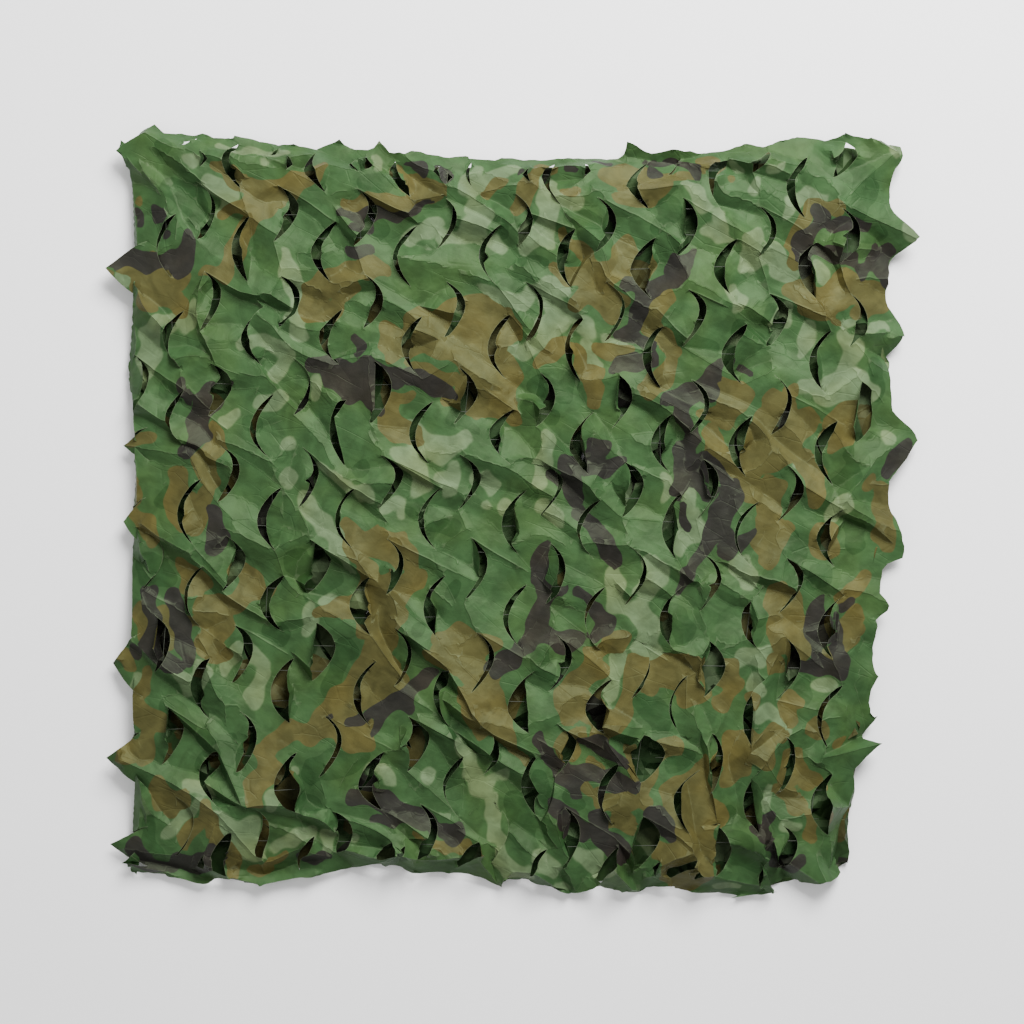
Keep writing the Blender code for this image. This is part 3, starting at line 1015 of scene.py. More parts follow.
@dataclass(frozen=True)
class Plates:
    """Flattens the cloth into plates with crisp folds between them.

    The plates grow over neighbouring triangles that face alike, mostly drawn out down
    to the right, and the points then move to suit.
    """

    size: float = 0.027
    stretch: float = 1.7
    slant: float = math.radians(-27.0)
    spread: float = 0.10
    crossing: float = 0.25
    own: float = 0.15
    packing: float = 1.3
    evening: int = 3
    growths: int = 4
    moves: int = 30
    farthest: float = 0.0055
    least_fold: float = 0.975
    seed: int = 3

    def flatten(self, places: np.ndarray, flat: np.ndarray, cloth: CutCloth, first: float,
                limits: np.ndarray) -> tuple[np.ndarray, np.ndarray]:
        """Flatten the cloth from a place along the strip on.

        Args:
            places: Where every point is.
            flat: Where it was when the cloth was cut.
            cloth: The cloth, with its triangles and creases.
            first: Where along the strip the plates begin.
            limits: Lowest and highest z of every point.

        Returns:
            Where every point ends up, and the edges that are folded.
        """
        chosen = np.flatnonzero(cloth.t[cloth.faces].min(axis=1) > first)
        faces = cloth.faces[chosen]
        one, two, ends, creased = self._pairs(faces, cloth.creased)
        facing = self._facing(places, faces)
        label, plate_facing = self._grow(facing, flat[faces].mean(axis=1), one, two, creased)
        goal = plate_facing[label] * (1 - self.own) + facing * self.own
        goal /= np.linalg.norm(goal, axis=1)[:, None]
        now = places.copy()
        count = np.bincount(faces.ravel(), minlength=len(now))[:, None] + LEAST_SIZE
        for _ in range(self.moves):
            middle = now[faces].mean(axis=1)
            total = np.zeros_like(now)
            for corner in faces.T:
                off = np.einsum("ij,ij->i", middle - now[corner], goal)
                for axis in range(3):
                    total[:, axis] += np.bincount(corner, off * goal[:, axis], len(now))
            now += total / count
            moved = now - places
            reach = np.linalg.norm(moved, axis=1)[:, None] + TINY
            now = places + moved * np.minimum(1.0, self.farthest / reach)
            now[:, 2] = np.clip(now[:, 2], limits[:, 0], limits[:, 1])
        now = places + self._evened(now - places, faces)
        now[:, 2] = np.clip(now[:, 2], limits[:, 0], limits[:, 1])
        facing = self._facing(now, faces)
        folded = np.einsum("ij,ij->i", facing[one], facing[two]) < self.least_fold
        return now, ends[folded & (label[one] != label[two])]

    def _evened(self, moved: np.ndarray, faces: np.ndarray) -> np.ndarray:
        """Even out how the points of each cut edge have moved.

        Args:
            moved: How far every point has moved.
            faces: The triangles.

        Returns:
            How far every point is to move.
        """
        one, two = cut_edges(faces).T
        points = np.unique([one, two])
        near = np.bincount(one, minlength=len(moved)) + np.bincount(two, minlength=len(moved))
        for _ in range(self.evening):
            total = np.zeros_like(moved)
            np.add.at(total, one, moved[two])
            np.add.at(total, two, moved[one])
            moved = moved.copy()
            moved[points] += (total[points] / near[points, None] - moved[points]) / 2
        return moved

    def _grow(self, facing: np.ndarray, spots: np.ndarray, one: np.ndarray,
              two: np.ndarray, creased: np.ndarray) -> tuple[np.ndarray, np.ndarray]:
        """Grow the plates a few times, each time from their best triangles.

        Args:
            facing: Facing of every triangle.
            spots: Where each lies on the flat cloth.
            one: First triangle of each neighbouring pair.
            two: Second triangle of each pair.
            creased: Which pairs have a crease between them.

        Returns:
            The plate of every triangle, and the facing of every plate.
        """
        turn = np.array([[math.cos(self.slant), -math.sin(self.slant) * self.stretch],
                         [math.sin(self.slant), math.cos(self.slant) * self.stretch]])
        spots = spots @ turn / (self.size * self.stretch)
        around: list[list[tuple[int, float]]] = [[] for _ in facing]
        for a, b, fold in zip(one.tolist(), two.tolist(), creased.tolist()):
            cost = self.crossing if fold else 0.0
            around[a].append((b, cost))
            around[b].append((a, cost))
        rng = np.random.default_rng(self.seed)
        step = np.median(np.linalg.norm(spots[one] - spots[two], axis=1))
        count = int(len(facing) * float(step * step * self.packing))
        seeds = rng.choice(len(facing), count, replace=False)
        look, place = facing[seeds], spots[seeds]
        label = np.zeros(len(facing), dtype=int)
        for _ in range(self.growths):
            label = self._spread(seeds, look, place, facing, spots, around)
            total = np.bincount(label, minlength=len(seeds))[:, None] + LEAST_SIZE
            look = np.column_stack([np.bincount(label, facing[:, k], len(seeds))
                                    for k in range(3)])
            look /= np.linalg.norm(look, axis=1)[:, None] + TINY
            place = np.column_stack([np.bincount(label, spots[:, k], len(seeds))
                                     for k in range(2)]) / total
            cost = self._cost(facing, spots, look[label], place[label])
            order = np.lexsort((cost, label))
            kept, start = np.unique(label[order], return_index=True)
            seeds = seeds.copy()
            seeds[kept] = order[start]
        return label, look

    def _spread(self, seeds: np.ndarray, look: np.ndarray, place: np.ndarray,
                facing: np.ndarray, spots: np.ndarray,
                around: list[list[tuple[int, float]]]) -> np.ndarray:
        """Spread the plates from their seeds, the best fitting triangle first.

        Args:
            seeds: The triangle that each plate starts from.
            look: Facing of every plate.
            place: Middle of every plate.
            facing: Facing of every triangle.
            spots: Where each lies.
            around: Neighbours of each, and what it costs to cross to them.

        Returns:
            The plate of every triangle.
        """
        label = [-1] * len(facing)
        looks, places = look.tolist(), place.tolist()
        facings, where = facing.tolist(), spots.tolist()
        queue = [(0.0, int(seed), index) for index, seed in enumerate(seeds)]
        heapq.heapify(queue)
        while queue:
            _, face, index = heapq.heappop(queue)
            if label[face] >= 0:
                continue
            label[face] = index
            (u, v, w), (p, q) = looks[index], places[index]
            for other, cost in around[face]:
                if label[other] < 0:
                    a, b, c = facings[other]
                    x, y = where[other]
                    cost += 2 - 2 * (a * u + b * v + c * w)
                    cost += self.spread * ((x - p) ** 2 + (y - q) ** 2)
                    heapq.heappush(queue, (cost, other, index))
        return np.maximum(np.array(label), 0)

    def _cost(self, facing: np.ndarray, spots: np.ndarray, look: np.ndarray,
              place: np.ndarray) -> np.ndarray:
        """How badly each triangle fits its plate."""
        return (2 - 2 * np.einsum("ij,ij->i", facing, look)
                + self.spread * ((spots - place) ** 2).sum(axis=1))

    @staticmethod
    def _facing(places: np.ndarray, faces: np.ndarray) -> np.ndarray:
        """Facing of every triangle.

        Args:
            places: Where the points are.
            faces: The triangles.

        Returns:
            Their normals.
        """
        a, b, c = (places[corner] for corner in faces.T)
        normal = np.cross(b - a, c - a)
        return normal / (np.linalg.norm(normal, axis=1)[:, None] + TINY)

    @staticmethod
    def _pairs(faces: np.ndarray, creased: np.ndarray
               ) -> tuple[np.ndarray, np.ndarray, np.ndarray, np.ndarray]:
        """Find the pairs of neighbouring triangles.

        Args:
            faces: The triangles.
            creased: Ends of the creased edges.

        Returns:
            The first and second triangle of each pair, the edge between them and
            whether it is creased.
        """
        order, again, folded = paired_edges(faces, creased)
        owner = np.tile(np.arange(len(faces)), 3)[order]
        return owner[again - 1], owner[again], edge_ends(faces)[order][again], folded


@dataclass(frozen=True)
class MainFold:
    """A ridge (+) or trough (-) of the top layer, between two places."""

    start: tuple[float, float]
    end: tuple[float, float]
    height: float
    width: float
    gather: float = 0.0


@dataclass(frozen=True)
class PulledSpot:
    """A spot of the top layer's edge and where it is drawn to."""

    spot: tuple[float, float]
    goal: tuple[float, float, float]


@dataclass(frozen=True)
class Ties:
    """Where the cloth is held: its ties to the string mesh, and its tongues.

    open_slits gives the slits that stand open: side, row, column, how far the
    tongue is drawn back, and how far it is lifted.
    """

    strip: FoldedStrip
    lattice: SlitLattice
    cutter: ClothCutter
    gaps: tuple[float, ...] = (0.006, 0.010, 0.012, 0.015, 0.018, 0.023)
    lifts: tuple[float, ...] = (-0.010, -0.006, 0.002, 0.007, 0.011)
    loose: float = 0.20
    short_gap: float = 0.008
    open_slits: tuple[tuple[Side, int, int, float, float], ...] = (
        (Side.LEFT, 0, 6, 0.013, 0.008),
        (Side.RIGHT, 0, 5, 0.014, 0.004),
        (Side.LEFT, 1, 6, 0.013, 0.005),
        (Side.RIGHT, 2, 4, 0.014, 0.006),
        (Side.LEFT, 2, 5, 0.017, 0.006),
        (Side.LEFT, 3, 5, 0.024, 0.008),
        (Side.LEFT, 4, 1, 0.030, -0.008),
        (Side.LEFT, 5, 0, 0.026, 0.012),
        (Side.RIGHT, 5, 1, 0.022, 0.010),
        (Side.LEFT, 5, 6, 0.018, -0.006),
        (Side.RIGHT, 5, 7, 0.020, 0.006),
        (Side.RIGHT, 6, -1, 0.018, 0.010),
        (Side.RIGHT, 6, 0, 0.017, 0.006),
        (Side.LEFT, 6, 1, 0.020, -0.006),
        (Side.RIGHT, 6, 2, 0.028, 0.008),
        (Side.LEFT, 6, 6, 0.024, 0.009),
        (Side.RIGHT, 6, 7, 0.020, -0.006),
    )
    spots: tuple[tuple[float, float], ...] = ((0.038, 0.005), (-0.016, -0.070))
    pulled: tuple[PulledSpot, ...] = (
        PulledSpot((-0.482, 0.450), (-0.496, 0.452, 0.026)),
        PulledSpot((-0.458, 0.470), (-0.458, 0.478, 0.034)),
        PulledSpot((-0.482, -0.430), (-0.490, -0.440, 0.020)),
        PulledSpot((0.462, 0.452), (0.490, 0.452, 0.028)),
        PulledSpot((0.445, 0.470), (0.449, 0.467, 0.024)),
        PulledSpot((0.335, -0.494), (0.335, -0.477, 0.008)),
        PulledSpot((0.455, -0.440), (0.398, -0.454, 0.014)),
        PulledSpot((0.460, -0.370), (0.425, -0.374, 0.018)),
    )
    reach: float = 0.007
    missing: float = 0.12
    fold_tongue_z: float = 0.022
    near_fold: float = 0.03
    bend_margin: float = 0.010
    waves: tuple[tuple[float, float, float], ...] = (
        (17.0, 9.0, 0.0), (-11.0, 19.0, 2.0), (13.0, 21.0, 0.0))
    drift: float = 0.0040
    scatter: float = 0.0035
    lift: float = 0.0042
    wild_x: float = 0.1
    wild_y: float = -0.05
    wild_rise: float = 0.25
    wild_open: float = 0.9
    wild_ties: float = 1.3
    turned: float = 0.022
    turned_low: float = 1.35
    turn_width: float = 0.045
    hem_run: tuple[float, float] = (-0.44, 0.42)
    hem_step: float = 0.046
    hem_share: tuple[float, float] = (0.8, 1.2)
    hem_clear: float = 0.4 * 0.046
    hem_waver: float = 0.002
    hem_z: tuple[float, float] = (0.006, 0.014)
    point_z: tuple[float, float] = (0.012, 0.026)
    right_z: tuple[float, float] = (0.014, 0.030)
    under_share: float = 0.5
    seed: int = 9
    folds: tuple[MainFold, ...] = (
        MainFold((-0.42, 0.400), (0.44, 0.405), 0.006, 0.026),
        MainFold((-0.07, -0.225), (0.03, -0.320), 0.012, 0.026, 0.008),
        MainFold((-0.02, -0.340), (0.05, -0.420), -0.007, 0.032),
        MainFold((-0.26, -0.240), (-0.24, -0.330), -0.006, 0.026),
        MainFold((-0.32, -0.370), (-0.10, -0.410), 0.009, 0.026, 0.006),
        MainFold((-0.41, 0.160), (-0.38, -0.060), 0.008, 0.026, 0.006),
        MainFold((-0.08, 0.110), (0.10, 0.030), 0.006, 0.024, 0.005),
        MainFold((0.22, 0.120), (0.36, 0.010), 0.010, 0.030, 0.006),
        MainFold((0.14, -0.090), (0.30, -0.240), -0.006, 0.028),
        MainFold((0.26, -0.330), (0.40, -0.270), 0.009, 0.028, 0.006),
        MainFold((-0.30, 0.270), (-0.05, 0.200), 0.007, 0.028, 0.005),
        MainFold((0.10, 0.330), (0.38, 0.250), 0.007, 0.030, 0.005),
        MainFold((-0.43, -0.415), (-0.27, -0.325), 0.010, 0.018, 0.008),
        MainFold((-0.30, -0.395), (-0.26, -0.452), 0.009, 0.016, 0.006),
        MainFold((-0.23, -0.385), (-0.13, -0.440), 0.008, 0.016, 0.006),
        MainFold((-0.36, -0.430), (-0.17, -0.345), -0.008, 0.020, 0.004),
        MainFold((-0.31, -0.120), (-0.23, -0.250), -0.011, 0.026),
        MainFold((-0.19, -0.120), (-0.14, -0.210), 0.010, 0.022, 0.006),
        MainFold((-0.14, -0.300), (-0.04, -0.420), -0.008, 0.024),
        MainFold((0.20, -0.250), (0.30, -0.380), -0.009, 0.024),
        MainFold((0.34, -0.200), (0.37, -0.330), -0.008, 0.022),
        MainFold((0.20, -0.225), (0.29, -0.295), 0.011, 0.018, 0.009),
        MainFold((0.27, -0.340), (0.33, -0.275), 0.010, 0.016, 0.008),
        MainFold((0.35, -0.220), (0.41, -0.275), 0.010, 0.016, 0.008),
        MainFold((0.36, -0.385), (0.40, -0.325), 0.010, 0.016, 0.008),
        MainFold((0.21, -0.365), (0.28, -0.420), 0.010, 0.016, 0.008),
        MainFold((-0.20, 0.330), (-0.12, 0.230), 0.009, 0.022, 0.006),
    )

    def hold(self, cloth: CutCloth, places: np.ndarray) -> tuple[np.ndarray, np.ndarray]:
        """Choose the held points and where they are drawn to.

        Args:
            cloth: The cut cloth.
            places: Where its points start, folded.

        Returns:
            Indices of the held points, and their goals.
        """
        rng = random.Random(self.seed)
        tree = tree_of(cloth.strip_places)
        ties = []
        for row, column in self.lattice.cells(self.strip):
            x, y = self.lattice.corner(row, column)
            for dx, dy in self.spots:
                t = self.strip.strip_t(x + dx)
                _, index, gap = tree.find((t, y + dy, 0.0))
                kept = rng.random() > self.missing
                scatter = [rng.uniform(-1, 1) for _ in range(3)]
                if gap < self.reach and kept and not self._on_bend(t):
                    ties.append((index, places[index]
                                 + self._shift(x + dx, y + dy, scatter, t)))
        ties += self._tongues(cloth, places)
        ties += [(tree.find((*spot, 0.0))[1], np.array(goal))
                 for spot, goal in self._edge_spots()]
        ties += self._fold_tongues(cloth)
        held, where = np.unique([index for index, _ in ties], return_index=True)
        return held, np.array([goal for _, goal in ties])[where]

    def _edge_spots(self) -> Iterator[tuple[tuple[float, float], tuple[float, ...]]]:
        """Choose spots of the top layer's edges and corners.

        Yields:
            Each spot on the strip, and where it is drawn.
        """
        rng = random.Random(self.seed + 2)
        cutter, strip = self.cutter, self.strip
        for points, table, out in ((cutter.top_points, cutter.edge_top, 1.0),
                                   (cutter.bottom_points, cutter.edge_bottom, -1.0)):
            tips = [point.tip for point in points]
            x, last = self.hem_run
            while x < last:
                edge = float(np.interp(x, cutter.edge_x, table))
                if min(abs(x - tip) for tip in tips) > self.hem_clear:
                    yield (strip.strip_t(x), edge + out * cutter.spare), self._goal(
                        x, edge + rng.uniform(-self.hem_waver, self.hem_waver),
                        rng.uniform(*self.hem_z))
                x += rng.uniform(*self.hem_share) * self.hem_step
            for point in points:
                edge = float(np.interp(point.tip, cutter.edge_x, table)) + out * point.reach
                yield (strip.strip_t(point.tip), edge + out * cutter.spare), self._goal(
                    point.tip, edge, rng.uniform(*self.point_z))
        for point in cutter.right_points:
            yield (strip.end + point.reach, point.tip), self._goal(
                strip.right_x + strip.overhang + point.reach, point.tip,
                rng.uniform(*self.right_z))
        for pulled in self.pulled:
            yield (strip.strip_t(pulled.spot[0]), pulled.spot[1]), pulled.goal

    def _goal(self, x: float, y: float, z: float) -> tuple[float, float, float]:
        """Leaning place of a spot of the top layer, at a given height."""
        place = self.strip.place(np.array([self.strip.strip_t(x)]), np.array([y]))[0]
        return float(place[0]), y, z

    def _fold_tongues(self, cloth: CutCloth) -> Iterator[tuple[int, np.ndarray]]:
        """Draw out the fold tongues.

        Args:
            cloth: The cut cloth.

        Yields:
            The tip of each tongue, and where it is drawn.
        """
        for tongue in self.cutter.tongues:
            line = self.cutter.tongue_line(tongue)
            for index in cloth.beside_cut(line[len(line) // 2], 1.0):
                yield index, np.array([self.strip.left_x - tongue.reach, tongue.y,
                                       self.fold_tongue_z + tongue.lift])

    def _tongues(self, cloth: CutCloth,
                 places: np.ndarray) -> Iterator[tuple[int, np.ndarray]]:
        """Draw back the top layer's tongues.

        Args:
            cloth: The cut cloth.
            places: Where its points start, folded.

        Yields:
            The middle point of each tongue, and where it is drawn.
        """
        rng = random.Random(self.seed + 1)
        opened = {(side, row, column): (gap, lift)
                  for side, row, column, gap, lift in self.open_slits}
        for slit in cloth.slits:
            middle = slit.line[len(slit.line) // 2]
            gap, lift = rng.choice(self.gaps), rng.choice(self.lifts)
            loose = rng.random() < self.loose
            wild = 1 + self.wild_open * self._wild(float(self.strip.chart_x(middle[0])),
                                                   middle[1])
            gap, lift = gap * wild, lift * wild
            if slit.row == self.lattice.short_row:
                gap, lift, loose = self.short_gap, abs(lift), False
            if (slit.side, slit.row, slit.column) in opened:
                gap, lift = opened[(slit.side, slit.row, slit.column)]
                loose = False
            if loose or middle[0] < self.strip.top_start + self.near_fold:
                continue
            towards = 1.0 if slit.side is Side.RIGHT else -1.0
            for index in cloth.beside_cut(middle, -towards):
                yield index, places[index] + [-towards * gap, 0.0, lift]

    def _wild(self, x: float, y: float) -> float:
        """How crumpled the cloth is: most at the lower right.

        Args:
            x: Place across the top layer.
            y: Place along the folds.

        Returns:
            The share there, 0 to 1.
        """
        low = float(smooth((self.wild_y - y) / self.wild_rise))
        right = float(smooth((x - self.wild_x) / self.wild_x))
        return low * (0.5 + 0.5 * right)

    def _on_bend(self, t: float) -> bool:
        """Tell whether a place is on one of the two folds, which are left free.

        Args:
            t: Place along the strip.

        Returns:
            True on a fold.
        """
        s, margin = self.strip, self.bend_margin
        return (s.right_bend - margin < t < s.mid_start + margin
                or s.left_bend - margin < t < s.top_start + margin)

    def _shift(self, x: float, y: float, scatter: list[float], t: float) -> np.ndarray:
        """How far a tie is drawn away from its even place.

        Args:
            x: Place across the top layer.
            y: Place along the folds.
            scatter: Random share of each axis, -1 to 1.
            t: Place along the strip.

        Returns:
            The move.
        """
        sizes = ((self.drift, self.scatter), (self.drift, self.scatter),
                 (self.lift, self.lift))
        move = np.array([
            drift * math.sin(a * x + b * y + c) + most * share
            for (drift, most), (a, b, c), share in zip(sizes, self.waves, scatter)])
        if t < self.strip.left_bend:
            move[2] *= self.under_share
            return move
        move *= 1 + self.wild_ties * max(0.0, 2 * self._wild(x, y) - 1)
        inside = self.cutter.inside(t, y)
        turned = self.turned * (1.0 if y > 0 else self.turned_low)
        move[2] -= turned * float(1 - smooth(inside / self.turn_width))
        for fold in self.folds:
            gap = float(beside(x, y, fold.start, fold.end)[1])
            share = float(1 - smooth(gap / (2 * fold.width)))
            move[2] += fold.height * share
            middle = ((fold.start[0] + fold.end[0]) / 2, (fold.start[1] + fold.end[1]) / 2)
            run = np.array([fold.end[0] - fold.start[0], fold.end[1] - fold.start[1]])
            across = np.array([-run[1], run[0]]) / np.linalg.norm(run)
            side = np.dot(across, [x - middle[0], y - middle[1]])
            reach = float(1 - smooth(gap / (4 * fold.width)))
            move[:2] -= across * np.sign(side) * fold.gather * reach
        return move


@dataclass
class NetCloth:
    """The net's cloth: cut, gathered, relaxed and made into a mesh."""

    strip: FoldedStrip
    gathering: Gathering
    lattice: SlitLattice
    relaxer: Relaxer = field(default_factory=Relaxer)
    plates: Plates = field(default_factory=Plates)
    first_steps: int = 200
    fine_steps: int = 30
    quick_steps: tuple[int, int] = (20, 2)
    plates_after: float = 0.01
    fine_after: float = 0.004
    crease_angle: float = math.radians(9.0)
    noise: float = 0.0002
    crease_seed: float = 0.0030
    crease_half: float = 0.008
    crease_reach: float = 0.15
    under: float = 0.3
    heap: float = 0.0240
    heap_waves: tuple[float, float] = (0.003, 0.002)
    heap_edge: float = 0.003
    heap_rim: float = 0.030
    edge: tuple[float, float] = (0.470, 0.060)
    lowest: tuple[float, ...] = (0.0004, 0.0004, 0.0025, 0.0070)
    highest: tuple[float, ...] = (0.0020, 0.0200, 0.0050, 0.0500, 0.0620)
    room: tuple[float, float, float] = (0.006, 0.006, 0.014)
    bend_before: float = 0.02
    seed: int = 5

    def build(self) -> tuple[bpy.types.Object, CutCloth, np.ndarray]:
        """Build the cloth.

        Returns:
            Its object, the cut cloth and the places of its points.
        """
        cutter = ClothCutter(self.strip, self.lattice)
        cloth = cutter.cut()
        LOG.info("cut cloth: %d points, %d triangles, %d slits", len(cloth.t),
                 len(cloth.faces), len(cloth.slits))
        start = self.strip.place(cloth.t, cloth.y)
        held, goals = Ties(self.strip, self.lattice, cutter).hold(cloth, start)
        start[:, 2] += self._ripple(cloth)
        flat = self.gathering.flat(cloth.t, cloth.y)
        steps = self.first_steps
        places = self.relaxer.settle(start, flat, cloth, held, goals,
                                     self._limits(cloth, cutter), steps)
        LOG.info("relaxed cloth, %d ties", len(held))
        cloth, places, held = self._refine(cloth, places, held)
        flat = self.gathering.flat(cloth.t, cloth.y)
        steps = self.fine_steps
        places = self.relaxer.settle(places, flat, cloth, held, places[held],
                                     self._limits(cloth, cutter), steps)
        places, cloth.creased = self.plates.flatten(
            places.astype(float), flat, cloth, self.strip.left_bend + self.plates_after,
            self._limits(cloth, cutter))
        LOG.info("refined cloth: %d points, %d triangles", len(cloth.t), len(cloth.faces))
        mesh = bpy.data.meshes.new("net_cloth_sheet")
        mesh.from_pydata(places.tolist(), [], cloth.faces.tolist())
        mesh.update()
        mesh.shade_smooth()
        mesh.set_sharp_from_angle(angle=self.crease_angle)
        self._sharpen(mesh, cloth.creased)
        net = bpy.data.objects.new("net_cloth_sheet", mesh)
        bpy.context.scene.collection.objects.link(net)
        return net, cloth, places

    @staticmethod
    def _sharpen(mesh: bpy.types.Mesh, creased: np.ndarray) -> None:
        """Mark the creases as sharp edges.

        Args:
            mesh: The cloth's mesh.
            creased: Ends of the creased edges.
        """
        ends = np.empty(len(mesh.edges) * 2, dtype=np.int32)
        mesh.edges.foreach_get("vertices", ends)
        size = len(mesh.vertices)
        folded = np.isin(edge_keys(ends.reshape(-1, 2), size), edge_keys(creased, size))
        layer = mesh.attributes.get("sharp_edge")
        if layer is None:
            layer = mesh.attributes.new("sharp_edge", "BOOLEAN", "EDGE")
        sharp = np.empty(len(mesh.edges), dtype=bool)
        layer.data.foreach_get("value", sharp)
        layer.data.foreach_set("value", sharp | folded)

    def _ripple(self, cloth: CutCloth) -> np.ndarray:
        """Raise a small first unevenness, which chooses which way each crease goes.

        Args:
            cloth: The cut cloth.

        Returns:
            How far every point is raised.
        """
        rng = np.random.default_rng(self.seed)
        wave = rng.normal(0.0, self.noise, len(cloth.t))
        for crease in cloth.creases:
            near = np.flatnonzero(
                (np.abs(cloth.t - crease.start[0]) < self.crease_reach)
                & (np.abs(cloth.y - crease.start[1]) < self.crease_reach))
            _, gap = beside(cloth.t[near], cloth.y[near], crease.start, crease.end)
            wave[near] += crease.sign * self.crease_seed * np.exp(
                -(gap / self.crease_half) ** 2)
        return np.where(cloth.t > self.strip.left_bend, wave, self.under * np.abs(wave))

    def _limits(self, cloth: CutCloth, cutter: ClothCutter) -> np.ndarray:
        """Keep the layers apart: below the top one lies an uneven heap.

        Args:
            cloth: The cloth.
            cutter: What it was cut by.

        Returns:
            Lowest and highest z of every point.
        """
        s, t = self.strip, cloth.t
        x, y = s.chart_x(t), cloth.y
        wide, fine = self.heap_waves
        heap = self.heap + wide * np.sin(38 * x + 9 * y + 1) * np.cos(31 * y - 12 * x)
        heap += fine * np.sin(71 * y + 30 * x + 2) * np.cos(64 * x - 25 * y)
        rise = smooth(cutter.inside(t, y) / self.heap_rim)
        heap = self.heap_edge + (heap - self.heap_edge) * rise
        near = smooth((self.edge[0] - np.abs(y)) / self.edge[1])
        layers = [t < end for end in (s.right_bend, s.mid_start,
                                      s.left_bend - self.bend_before, s.top_start)]
        first, bend, middle, turn = self.lowest
        room_first, floor_middle, room_middle = (share * near for share in self.room)
        low = np.select(layers, [first, bend, middle + floor_middle, turn], heap)
        first, bend, middle, turn, top = self.highest
        high = np.select(layers, [first + room_first, bend, middle + room_middle, turn], top)
        return np.column_stack([low, high])

    def _refine(self, cloth: CutCloth, places: np.ndarray,
                held: np.ndarray) -> tuple[CutCloth, np.ndarray, np.ndarray]:
        """Halve the triangles of the top layer.

        Args:
            cloth: The cut cloth.
            places: Where its points are.
            held: Indices of its held points.

        Returns:
            The finer cloth, its places and its held points.
        """
        body = bmesh.new()
        t_layer = body.verts.layers.float.new("t")
        y_layer = body.verts.layers.float.new("y")
        hold_layer = body.verts.layers.int.new("held")
        verts = []
        for place, (t, y) in zip(places.tolist(), cloth.strip_places.tolist()):
            vert = body.verts.new(place)
            vert[t_layer], vert[y_layer] = t, y
            verts.append(vert)
        for index in held:
            verts[index][hold_layer] = 1
        for face in cloth.faces.tolist():
            body.faces.new([verts[i] for i in face])
        for a, b in cloth.creased.tolist():
            body.edges.get((verts[a], verts[b])).smooth = False
        limit = self.strip.left_bend + self.fine_after
        edges = [edge for edge in body.edges
                 if edge.verts[0][t_layer] > limit and edge.verts[1][t_layer] > limit]
        bmesh.ops.subdivide_edges(body, edges=edges, cuts=1, use_grid_fill=True)
        bmesh.ops.triangulate(body, faces=body.faces)
        body.verts.index_update()
        spots = np.array([(vert[t_layer], vert[y_layer]) for vert in body.verts])
        where = np.array([vert.co[:] for vert in body.verts])
        kept = np.array([vert.index for vert in body.verts
                         if vert[hold_layer] and vert.index < len(verts)])
        fine = CutCloth(spots, *taken_apart(body), cloth.slits, cloth.creases)
        LOG.info("creases: %d edges, %d once refined", len(cloth.creased),
                 len(fine.creased))
        return fine, where, kept


@dataclass(frozen=True)
class ClothMarks:
    """Numbers that the cloth's finish reads at each point.

    crease and cut are the distances to the nearest crease and cut edge, shade is
    painted shade, which falls towards 0 far inside the bundle, and flat is the place on
    the flat cloth.
    """

    strip: FoldedStrip
    gathering: Gathering
    farthest: float = 0.02
    rim: float = 0.030
    half_y: float = 0.475
    deepest: float = 0.50

    def add(self, mesh: bpy.types.Mesh, cloth: CutCloth, places: np.ndarray) -> None:
        """Add the numbers to the cloth's mesh.

        Args:
            mesh: The cloth's mesh.
            cloth: The cut cloth.
            places: Where its points are.
        """
        flat = self.gathering.flat(cloth.t, cloth.y)
        add_attribute(mesh, "crease", self._gap(flat, np.unique(cloth.creased)))
        add_attribute(mesh, "cut", self._gap(flat, np.unique(cut_edges(cloth.faces))))
        add_attribute(mesh, "shade", self._shade(cloth, places))
        layer = mesh.attributes.new("flat", "FLOAT_VECTOR", "POINT")
        spots = np.column_stack([flat, np.zeros(len(flat))]).astype(np.float32)
        layer.data.foreach_set("vector", spots.ravel())

    def _gap(self, flat: np.ndarray, marked: np.ndarray) -> np.ndarray:
        """Distance to the nearest marked point, on the flat cloth.

        Args:
            flat: Flat places of all points.
            marked: Indices of the marked ones.

        Returns:
            The distance of each point, at most the farthest.
        """
        tree = tree_of(flat[marked])
        gaps = np.array([min(tree.find((*spot, 0.0))[2], self.farthest)
                         for spot in flat.tolist()])
        gaps[marked] = 0.0
        return gaps

    def _shade(self, cloth: CutCloth, places: np.ndarray) -> np.ndarray:
        """How open to light each point is.

        Args:
            cloth: The cut cloth.
            places: Where its points are.

        Returns:
            For each point, from deepest inside the bundle to 1.
        """
        x, y = places[:, 0], places[:, 1]
        half = self.strip.run / 2
        rim = np.minimum(half - np.abs(x), self.half_y - np.abs(y))
        inside = self.deepest + (1 - self.deepest) * (1 - smooth(rim / self.rim))
        covered = cloth.t < self.strip.left_bend
        return np.where(covered, inside, 1.0)


# ---------------------------------------------------------------------------
# String mesh
# ---------------------------------------------------------------------------


